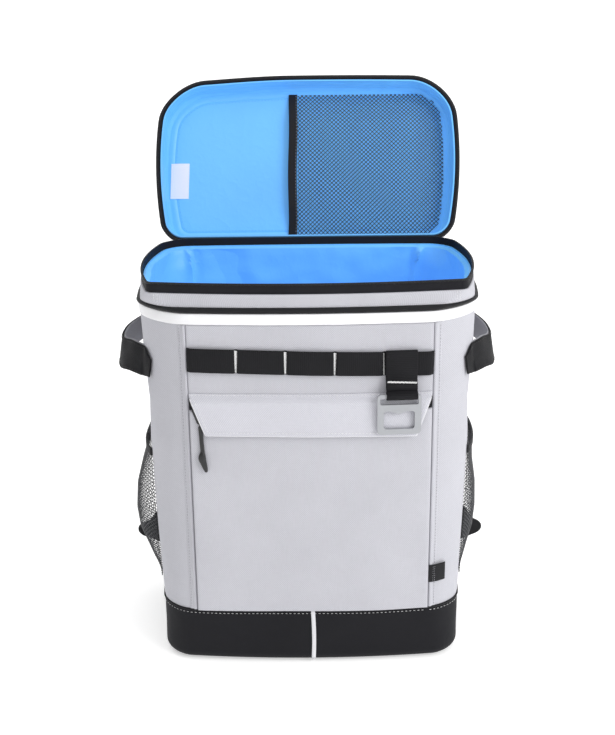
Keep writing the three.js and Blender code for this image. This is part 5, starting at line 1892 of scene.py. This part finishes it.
@dataclass(frozen=True)
class Lid:
    """The open lid, drawn in its own frame: x across, y behind its edge and z up from the hinge.

    Attributes:
        height: from the hinge to the far edge.
        width: across the straight sides at the edge.
        depth: of the tray.
        corner: radius of the far corners.
        hinge_corner: radius of the corners at the hinge.
        side_bow: how far the middles of the sides stand out.
        top_bow: how far the middles of hinge and far side stand out.
        lean: degrees that the lid leans back from upright.
        taper: how much narrower the tray is at its floor.
        floor: depth of the lining's floor.
        hinge: y and z of the hinge.
        net_left, net_right, net_bottom, net_top: edges of the net pocket.
    """

    height: float = 187.5
    width: float = 326.0
    depth: float = 32.0
    corner: float = 46.0
    hinge_corner: float = 22.0
    side_bow: float = 9.5
    top_bow: float = 2.5
    lean: float = 22.0
    taper: float = 4.5
    floor: float = 25.2
    hinge: tuple[float, float] = (99.8, 416.0)
    net_left: float = -12.0
    net_right: float = 157.0
    net_bottom: float = 7.5
    net_top: float = 174.5

    def make(self) -> None:
        """Makes all of it."""
        self.shell()
        self.lining()
        self.edge_zip()
        self.net_pocket()
        self.care_tag()

    def world(self, points: Array) -> Array:
        """Turns points of the lid's frame into the bag's."""
        turn = math.radians(self.lean)
        x, y, z = points[..., 0], points[..., 1], points[..., 2]
        x = x + 0.01 * z
        z = z - 4.5 * smooth_step(20, 160, -x) * smooth_step(100, self.height, z)
        back = self.hinge[0] + y * math.cos(turn) + z * math.sin(turn)
        up = self.hinge[1] - y * math.sin(turn) + z * math.cos(turn)
        return np.stack([x, back, up], axis=-1)

    def opening(self) -> Array:
        """Direction in which the lid's hollow opens."""
        return self.world(FORWARDS) - self.world(np.zeros(3))

    def ring(
        self, depth: Array, inset: Array, taper: Array, steps: tuple = (14, 60, 34)
    ) -> Array:
        """Points around the lid by column and row, for rows at a depth, an inset and a taper."""
        depth, inset, taper = np.broadcast_arrays(*(np.asarray(row, float) for row in (depth, inset, taper)))
        shape = pattern(*steps)[:, None]
        flat_x, flat_y = self.width / 2 - taper, self.height / 2 - taper / 2
        half_x, half_y = flat_x - inset, flat_y - inset
        top = (shape[..., 1] > 0) | (shape[..., 3] > 0.999)
        radius = np.where(top, np.maximum(1, self.corner - inset), np.maximum(1, self.hinge_corner - inset))
        side = np.abs(shape[..., 1]) < 1
        low, high = np.maximum(1, self.hinge_corner - inset), np.maximum(1, self.corner - inset)
        share = (shape[..., 1] + 1) / 2
        y_flat = mix(low - half_y, half_y - high, share)
        y = np.where(side, y_flat, shape[..., 1] * (half_y - radius) + radius * shape[..., 3])
        x_mid = half_x - np.where(side, 0, radius)
        x = np.where(side, shape[..., 2] * half_x, shape[..., 0] * x_mid + radius * shape[..., 2])
        x, y = bow_out(x, y, (half_x, half_y), 0.0, self.top_bow, self.side_bow)
        return np.stack([x, np.broadcast_to(depth, x.shape), y + flat_y], axis=-1)

    def tray(self, inset: float, edge: float, count: int) -> tuple[Array, Array, Array]:
        """Depths, insets and tapers of a tray's rows, from its floor to its edge."""
        shares = np.array([0.26, 0.6, 0.85, 1.0])
        depths = shares * (self.depth - inset)
        rows = np.linspace(depths[-1], edge, count)
        taper = self.taper * np.interp(rows, depths, (0, 0.12, 0.4, 1.0))
        return rows, np.full(count, inset), taper

    def shell(self) -> None:
        """Makes the padded tray."""
        depth, inset, taper = self.tray(0.0, 8.3, 26)
        round_floor = 2.2 * (1 - rounded(self.depth - depth, 5.0))
        outer = self.ring(depth, inset + round_floor, taper)
        rings = [3, 9, 20, 36, 56, 76]
        flat = self.ring(np.full(6, self.depth), np.array(rings, float) + 2, np.full(6, self.taper))
        flat = flat[:, ::-1]
        away = BACKWARDS
        crown = 0.8 + 1.6 * np.array([1, 1, 0.95, 0.8, 0.5, 0.15])
        flat = flat + away * crown[None, :, None]
        outer = np.concatenate([flat, outer], axis=1)
        swell = 0.7 * soft_noise(outer, 70, 51)
        outer = outer + away * (swell * smooth_step(10, 30, outer[..., 1]))[..., None]
        depth, inset, taper = self.tray(5.0, 8.3, 26)
        inner = self.ring(depth, inset, taper)
        under = self.ring(np.full(6, 27.0), np.array(rings, float) + 6, np.full(6, self.taper))[:, ::-1]
        inner = np.concatenate([under, inner], axis=1)
        piece = sheet(
            "lid_shell", self.world(outer), self.world(inner), Finish.GREY, ring=True, capped=True
        )
        settle(piece, ["lid_shell"])

    def gusset(self, points: Array) -> Array:
        """How far the lining of the lid's sides stands in, in folds that run along them."""
        x, y, z = points[..., 0], points[..., 1], points[..., 2]
        top = smooth_step(120, 165, z)
        folds = 0.9 * np.exp(-(((y - 9 - 2 * np.sin(x / 31)) / 2.4) ** 2)) + 0.8 * np.exp(
            -(((y - 17 - 1.5 * np.sin(x / 23 + z / 37)) / 2.6) ** 2)
        )
        crumple = 0.7 * soft_noise(points * np.array([1, 1.4, 1]), 21, 61)
        pinch = np.exp(-(((x - 101 + 0.6 * y) / 4.5) ** 2)) * top * 1.6
        return (folds * (0.7 + 0.5 * top) + crumple + pinch) * smooth_step(1, 5, y) * 0.9

    def lining(self) -> None:
        """Makes the blue lining: gusset, seam and padded floor."""
        depth, inset, taper = self.tray(5.3, 0.3, 40)
        outer = self.ring(depth, inset, taper)
        rings = np.array([1.0, 2.0, 3.4, 5.0, 6.5, 7.4, 8.2, 9.0, 10.4, 13, 18, 25, 34, 46, 60, 72])
        count = len(rings)
        under = self.ring(np.full(count, 26.7), rings + 5.3, np.full(count, self.taper))[:, ::-1]
        outer = np.concatenate([under, outer], axis=1)
        depth, inset, taper = self.tray(6.8, 0.3, 40)
        inner = self.ring(depth, inset, taper)
        middle = np.array([0.0, 0.0, 93.0])
        inward = (middle - inner) * np.array([1 / 160**2, 0, 1 / 92**2])
        inner = inner + unit(inward) * self.gusset(inner)[..., None]
        flat = self.ring(np.full(count, self.floor), rings + 6.8, np.full(count, self.taper))[:, ::-1]
        rows = rings[::-1]
        seam = 0.75 * np.exp(-(((rows - 7.4) / 0.9) ** 2)) - 0.5 * np.exp(-(((rows - 4.0) / 2.2) ** 2))
        pad = 0.35 * smooth_step(8, 16, rows)
        offset = (seam - pad)[None] + 0.22 * soft_noise(flat, 40, 63) * smooth_step(9, 20, rows)[None]
        flat = flat + BACKWARDS * offset[..., None]
        inner = np.concatenate([flat, inner], axis=1)
        piece = sheet(
            "lid_lining", self.world(outer), self.world(inner), Finish.LINING, ring=True, capped=True
        )
        settle(piece, ["lid_liner"])
        line = self.ring(np.array([self.floor + 0.35]), np.array([6.8 + 9.6]), np.array([self.taper]))[:, 0]
        out = self.opening()
        path = self.world(np.concatenate([line, line[:1]]))
        settle(stitches("lid_seam", [(path, out)], Finish.BLUE_THREAD, 2.6, 1.2, 0.45, 0.0))

    def edge_zip(self) -> None:
        """Makes the zip tape around the lid's edge, with its coil."""
        rows = spread(0.0, 8.0, 8, 0.8)
        round_edge = 4.3 * (1 - rounded(np.minimum(rows, 8.0 - rows), 0.8)) * 0.25
        outer = self.ring(rows[::-1], round_edge[::-1], 0.0)
        inner = self.ring(rows[::-1], np.full(len(rows), 4.2), 0.0)
        tape = sheet("lid_zip_tape", self.world(outer), self.world(inner), Finish.ZIP_TAPE, ring=True)
        settle(tape, ["lid_zipper"])
        line = self.ring(np.array([0.1]), np.array([1.9]), np.array([0.0]))[:, 0]
        out = self.opening()
        teeth = coils("lid_zip_coil", self.world(line), out, Finish.BLACK_PLASTIC, 2.4, 1.4, closed=True)
        settle(teeth)

    def net_off(self, x: Array, z: Array) -> Array:
        """How far the net stands off the lining."""
        across = np.clip((x - self.net_left) / (self.net_right - self.net_left), 0, 1)
        up = np.clip((z - self.net_bottom) / (self.net_top - self.net_bottom), 0, 1)
        crown = np.minimum(1, 5 * np.minimum(up, 1 - up))
        return 0.7 + 9.5 * crown * np.minimum(mix(7 / 9.5, 1, across), 4 * (1 - across))

    def net_edge(self, z: Array) -> Array:
        """Right edge of the net at height z."""
        bow = self.side_bow * (2 * z / self.height - 1) ** 2
        upper = fall(z + 30 - self.net_top, 30.0)
        lower = fall(self.net_bottom + self.hinge_corner - z, self.hinge_corner)
        return self.net_right - bow - upper - lower

    def net_wobble(self, z: Array) -> Array:
        """How far the binding of the net strays to the right at height z."""
        ease = smooth_step(0, 20, z - self.net_bottom)
        return 0.5 * np.sin(z / 17) * ease * smooth_step(0, 20, self.net_top - z)

    def net_place(self, u: Array, v: Array) -> tuple[Array, Array]:
        """Places on the lid's net, and outward directions."""
        points = np.stack([u, self.floor - self.net_off(u, v) - 0.3, v], axis=-1)
        out = self.opening()
        return self.world(points), np.broadcast_to(out, points.shape)

    def net_pocket(self) -> None:
        """Makes the net, its binding and the stitches along them."""
        pocket = net(
            "lid_net", self.net_place, (self.net_left + 0.4, self.net_right, 8.0, self.net_top),
            lambda u, v: u < self.net_edge(v), Finish.NET, (4.9, 4.7), 0.56,
        )
        settle(pocket, ["lid_net"])
        us = spread(-22.3, -12.3, 8, 0.8)
        vs = spread(self.net_bottom, self.net_top, 60, 0.8)
        u, v = np.meshgrid(us, vs, indexing="ij")
        inside = np.minimum(np.minimum(u - us[0], us[-1] - u), np.minimum(v - vs[0], vs[-1] - v))
        wobble = self.net_wobble(v)
        off = self.net_off(u, v) - 0.4
        outer = np.stack([u + wobble, self.floor - off - 1.4 * rounded(inside, 0.8), v], -1)
        under = np.stack([u + wobble, self.floor - off, v], -1)
        binding = sheet("lid_net_binding", self.world(outer), self.world(under), Finish.BLACK_EDGE)
        settle(binding, ["lid_net_binding"])
        out = self.opening()
        z = np.linspace(9, self.net_top - 1, 60)
        x = -13.6 + self.net_wobble(z)
        path = np.stack([x, self.floor - self.net_off(x, z) + 0.4 - 1.42, z], -1)
        line = stitches("lid_net_stitches", [(self.world(path), out)], Finish.GREY_THREAD, 2.2, 1.4, 0.5)
        settle(line)

    def care_tag(self) -> None:
        """Makes the bare white tag."""
        us, vs = spread(-158.6, -137.6, 10, 0.4), spread(54, 95, 20, 0.4)
        u, v = np.meshgrid(us, vs, indexing="ij")
        curl = 0.5 * smooth_step(0, 1, (v - 54) / 41) * np.sin((u + 158.6) / 21 * np.pi)
        skew = 0.9 * (v - 54) / 41
        outer = np.stack([u + skew, self.floor - 0.3 - curl - 0.5, v], -1)
        under = np.stack([u + skew, self.floor - 0.3 - curl, v], -1)
        tag = sheet("care_tag", self.world(outer), self.world(under), Finish.TAG)
        settle(tag, ["care_tag"])


# The back

# shares of 100 mm across, of the strap's bulge, of the body's height and of the strap's width
STRAP_ROWS = (
    (0.94, 0.3, 0.43, 0.62), (0.9, 0.62, 0.52, 0.9), (0.8, 0.92, 0.63, 1.0), (0.68, 1.0, 0.74, 1.0),
    (0.56, 0.78, 0.85, 1.0), (0.48, 0.3, 0.925, 1.0), (0.46, -0.01, 0.96, 1.0),
)
STRAP_BULGE = 46
STRAP_WIDTH = 58


@dataclass(frozen=True)
class Back:
    """Back panel, hinge tape, shoulder straps and their webbing."""

    def make(self) -> None:
        """Makes all of it."""
        self.panel()
        self.hinge_tape()
        stuffed = self.stuffed_strap()
        for way, name in ((1, "right"), (-1, "left")):
            self.strap(way, name, stuffed)
            self.strap_webbing(way, name)
            self.wing(way, name)

    @staticmethod
    def place(u: Array, v: Array, offset: Array) -> Array:
        """Places on the back, with u running to the right as seen from behind."""
        return FORM.face(-u, v, offset, 1)

    def panel(self) -> None:
        """Makes the padded back panel with its quilted channels."""
        us, vs = spread(-110, 110, 80, 4.0), spread(72, 378, 110, 4.0)

        def quilt(u: Array, v: Array) -> Array:
            channels = np.exp(-((np.abs(u) - 36) / 2.2) ** 2) * smooth_step(80, 96, v)
            channels = channels * (1 - smooth_step(352, 368, v))
            return -1.7 * channels * smooth_step(2, 10, 110 - np.abs(u))

        u, v = np.meshgrid(us, vs, indexing="ij")
        inside = np.minimum(110 - np.abs(u), np.minimum(v - 72, 378 - v))
        thick = 4.0 * rounded(inside, 5.0) + quilt(u, v)
        piece = sheet(
            "back_panel", self.place(u, v, GAP + thick), self.place(u, v, GAP + 0 * u), Finish.GREY
        )
        settle(piece, ["back_panel"])
        path = [(-108.6, 73.6), (108.6, 73.6), (108.6, 376.4), (-108.6, 376.4), (-108.6, 73.6)]
        u, v = evenly(np.array(path, float), 360)[0].T
        line = (self.place(u, v, GAP + 1.6), BACKWARDS)
        settle(stitches("back_panel_stitches", [line], Finish.GREY_THREAD, 2.6, 1.4, 0.5))

    def hinge_tape(self) -> None:
        """Makes the tape along the lid's hinge."""
        us, vs = spread(-115, 115, 60, 0.7), spread(397.7, 414.7, 10, 0.7)
        tape = Patch(self.place, us, vs, GAP, 1.3, 0.7).make("hinge_tape", Finish.ZIP_TAPE)
        settle(tape, ["hinge_tape"])
        x = np.linspace(-113, 113, 100)
        rows = [(self.place(x, z + 0 * x, GAP + 1.3), BACKWARDS) for z in (399.2, 401.4)]
        settle(stitches("hinge_stitches", rows, Finish.BLACK_THREAD, 2.6, 1.2, 0.5))

    def strap_path(self) -> tuple[Array, Array]:
        """Middle line of the right-hand strap from its lower end, and its width there."""
        rows = np.array(STRAP_ROWS)
        x, z = rows[:, 0] * 100, rows[:, 2] * FORM.height
        points = FORM_PLAIN.face(x, z, 0.0, 1)
        points[:, 1] += 4.3 + GAP + 6 + rows[:, 1] * STRAP_BULGE
        curve = smooth_path(np.concatenate([points, rows[:, 3:] * STRAP_WIDTH], axis=1), 8)
        return curve[:, :3], curve[:, 3]

    def stuffed_strap(self) -> bpy.types.Object:
        """Makes the padding of the right-hand strap as stuffed cloth."""
        path, width = self.strap_path()
        _, _, outward = frames(path, np.broadcast_to(BACKWARDS, path.shape))
        half = width / 2 - 1.2
        turns = np.linspace(0, 2 * np.pi, 28, endpoint=False)
        flat = np.sign(np.cos(turns)) * np.abs(np.cos(turns)) ** 0.7
        high = np.sign(np.sin(turns)) * np.abs(np.sin(turns)) ** 0.8 * 4.6
        profile = np.stack([half[:, None] * flat, np.broadcast_to(high, (len(path), 28))], axis=-1)
        piece = sweep("strap_right", path, outward, profile, Finish.GREY)
        puff(piece, 5.0, 3.0, 2.0)
        return piece

    def strap(self, way: int, name: str, stuffed: bpy.types.Object) -> None:
        """Makes a shoulder strap of the stuffed one, mirrored for the left, and its edges."""
        path, width = self.strap_path()
        _, across, outward = frames(path, np.broadcast_to(BACKWARDS, path.shape))
        mirror = np.array([way, 1, 1])
        piece = stuffed
        if way < 0:
            mesh = stuffed.data.copy()
            mesh.transform(Matrix.Diagonal((-1, 1, 1, 1)))
            mesh.flip_normals()
            mesh.name = f"strap_{name}_look"
            piece = bpy.data.objects.new(mesh.name, mesh)
            bpy.context.scene.collection.objects.link(piece)
        settle(piece, [f"strap_{name}"])
        for side in (-1, 1):
            edge = (path + across * (side * (width / 2 - 1.3))[:, None]) * mirror
            border = sweep(
                f"strap_edge_{name}_{'outer' if side > 0 else 'inner'}", edge[1:-1], outward[1:-1] * mirror,
                strip_profile(4.4, 3.0) - np.array([0, 1.5]), Finish.BLACK_EDGE,
            )
            settle(border)

    def strap_webbing(self, way: int, name: str) -> None:
        """Makes the webbing that runs from a strap's lower end through its buckle to the wing."""
        mirror = np.array([way, 1, 1])
        path, _ = self.strap_path()
        end = path[0]
        away = 88 + 3.2 + GAP + 0.8
        tip = np.array([213 - 25, away + 2, 37 + 26.0])
        middle = tip + (end - tip) * 0.35
        middle[1] = away + 8
        points = [tip, middle, (end[0], end[1], 124), (end[0], end[1], 137), (end[0], end[1], end[2] - 2)]
        curve = smooth_path(np.array(points, float), 10) * mirror
        profile = strip_profile(25.0, 1.5) - np.array([0, 0.75])
        webbing = sweep(
            f"strap_webbing_{name}", curve, BACKWARDS, profile, Finish.WEBBING
        )
        settle(webbing, [f"strap_webbing_{name}"])
        self.buckle(way, name, end)

    def buckle(self, way: int, name: str, end: Array) -> None:
        """Makes the slide buckle: a rounded frame with a bar across it."""
        base = end * np.array([way, 1, 0]) + np.array([0, 0.8 + GAP + 2.0, 150.0])
        corners = [(15.6, 0), (15.6, 8.4), (13.4, 10.9), (0, 10.9), (-13.4, 10.9), (-15.6, 8.4), (-15.6, 0),
                   (-15.6, -8.4), (-13.4, -10.9), (0, -10.9), (13.4, -10.9), (15.6, -8.4)]
        flat = evenly(np.array([*corners, corners[0]], float), 61)[0][:-1]
        path = base + np.stack([flat[:, 0], 0 * flat[:, 0], flat[:, 1]], axis=1)
        frame_piece = sweep(
            f"strap_buckle_{name}", path, BACKWARDS, round_profile(1.95, 12),
            Finish.BLACK_PLASTIC, closed=True,
        )
        settle(frame_piece, [f"strap_buckle_{name}"])
        bar_path = base + np.linspace(-1, 1, 12)[:, None] * np.array([15.4, 0, 0])
        bar = sweep(
            f"strap_buckle_bar_{name}", bar_path, BACKWARDS, round_profile(1.7, 12),
            Finish.BLACK_PLASTIC,
        )
        settle(bar)

    def wing(self, way: int, name: str) -> None:
        """Makes the cloth wing that holds the lower end of the webbing."""
        us, vs = spread(0.0, 1.0, 30, 0.02), spread(0.0, 1.0, 24, 0.03)
        u, v = np.meshgrid(us, vs, indexing="ij")
        z_root = 32 + 60 * v
        root = FORM_PLAIN.flank(88 + 0 * v, z_root, GAP)[..., 0]
        z_tip = mix(63 - 9, 63 + 9, v)
        reach = (206.5 if way > 0 else 210.0) - 7 * np.abs(2 * v - 1) ** 2.4
        x = mix(root, reach, u)
        z = mix(z_root, z_tip, u)
        inside = np.minimum(np.minimum(u, 1 - u) * 55, np.minimum(v, 1 - v) * mix(60, 18, u))
        ripple = 0.4 * soft_noise(np.stack([x, 0 * x, z], -1), 16, 71) * smooth_step(2, 8, inside)
        front_face = np.stack([way * x, 88.2 + 1.3 * (1 - rounded(inside, 1.4)) + ripple, z], -1)
        rear_face = np.stack([way * x, 91.0 - 1.3 * (1 - rounded(inside, 1.4)) + ripple, z], -1)
        pair = (front_face, rear_face) if way > 0 else (front_face[::-1], rear_face[::-1])
        piece = sheet(f"strap_wing_{name}", *pair, Finish.BLACK_EDGE)
        settle(piece, [f"strap_wing_{name}"])


# The studio


@dataclass(frozen=True)
class Studio:
    """Camera, lights and the plain white floor and backdrop.

    Attributes:
        pixels: focal length in pixels of the photograph.
        place: the camera's place in metres.
        pitch: degrees that it looks down.
        yaw: degrees that it turns to the right.
        roll: degrees that it leans to the right.
    """

    pixels: float = 1215.2
    place: tuple[float, float, float] = (0.0091, -1.248, 0.7181)
    pitch: float = 18.6
    yaw: float = -0.47
    roll: float = -0.72

    def camera(self) -> None:
        """Makes the camera that the photograph was taken with."""
        data = bpy.data.cameras.new("camera")
        data.sensor_width = 36.0
        data.lens = self.pixels / PHOTO_HEIGHT * data.sensor_width
        made = bpy.data.objects.new("camera", data)
        bpy.context.scene.collection.objects.link(made)
        pitch, yaw, roll = (math.radians(turn) for turn in (self.pitch, self.yaw, self.roll))
        ahead = Vector((math.sin(yaw) * math.cos(pitch), math.cos(yaw) * math.cos(pitch), -math.sin(pitch)))
        right = Vector((math.cos(yaw), -math.sin(yaw), 0))
        up = right.cross(ahead)
        turned_right = right * math.cos(roll) + up * math.sin(roll)
        turned_up = up * math.cos(roll) - right * math.sin(roll)
        rows = Matrix((turned_right, turned_up, -ahead)).transposed().to_4x4()
        rows.translation = Vector(self.place)
        made.matrix_world = rows
        bpy.context.scene.camera = made

    def surroundings(self) -> None:
        """Makes the floor that curves up into the backdrop, and an even white world."""
        x = np.linspace(-4000, 4000, 9)
        bend = np.radians(np.linspace(0, 90, 13))
        profile = [(-3500.0, -1.0), (-1000, -1), (1200, -1)]
        profile += [(1200 + 800 * math.sin(t), -1 + 800 * (1 - math.cos(t))) for t in bend[1:]]
        profile += [(2000.0, 4500.0)]
        rows = np.array(profile)
        outer = np.stack(np.broadcast_arrays(x[:, None], rows[None, :, 0], rows[None, :, 1]), -1)
        inner = outer + np.array([0, 20.0, -20.0])
        floor = sheet("studio_floor", outer, inner, Finish.PAPER)
        bpy.context.scene.view_settings.view_transform = "Standard"
        world = bpy.data.worlds.new("studio_world")
        bpy.context.scene.world = world
        world.use_nodes = True
        world.node_tree.nodes["Background"].inputs["Color"].default_value = (1, 1, 1, 1)
        world.node_tree.nodes["Background"].inputs["Strength"].default_value = 0.5

    def lights(self) -> None:
        """Makes the soft lights: a wide one above and one from the front right."""
        self.area("key_light", (1.7, -1.3, 1.4), (0, 0, 0.25), 1.4, 30)
        self.area("top_light", (-0.2, -0.4, 2.2), (0, 0, 0.2), 2.0, 10)

    @staticmethod
    def area(name: str, place: tuple, aim: tuple, size: float, watts: float) -> None:
        """Makes a square area light that points at a place."""
        data = bpy.data.lights.new(name, "AREA")
        data.size = size
        data.energy = watts
        made = bpy.data.objects.new(name, data)
        bpy.context.scene.collection.objects.link(made)
        made.location = place
        made.rotation_euler = (Vector(aim) - Vector(place)).to_track_quat("-Z", "Y").to_euler()

    def make(self) -> None:
        """Makes the surroundings and the lights."""
        self.surroundings()
        self.lights()


def finish_opener(frame: dict) -> None:
    """Gives the opener of the model its finish and soft edges."""
    opener = frame["nodes"]["bottle_opener"]
    opener.data.materials.clear()
    opener.data.materials.append(Finish.METAL.material())
    bevel = opener.modifiers.new("soft_edges", "BEVEL")
    bevel.width = 0.45 * MM
    bevel.segments = 3
    bevel.limit_method = "ANGLE"
    bevel.angle_limit = math.radians(35)


def main() -> None:
    """Builds the scene piece by piece."""
    logging.basicConfig(level=logging.INFO, format="%(name)s: %(message)s")
    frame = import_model()
    studio = Studio()
    studio.camera()
    pieces = (
        Body(), Front(), Opener(), Side("left", -1, 25.0, 25.0), Side("right", 1, 21.0, 15.0), Lid(), Back()
    )
    for piece in pieces:
        piece.make()
    finish_opener(frame)
    studio.make()


if __name__ == "__main__":
    main()
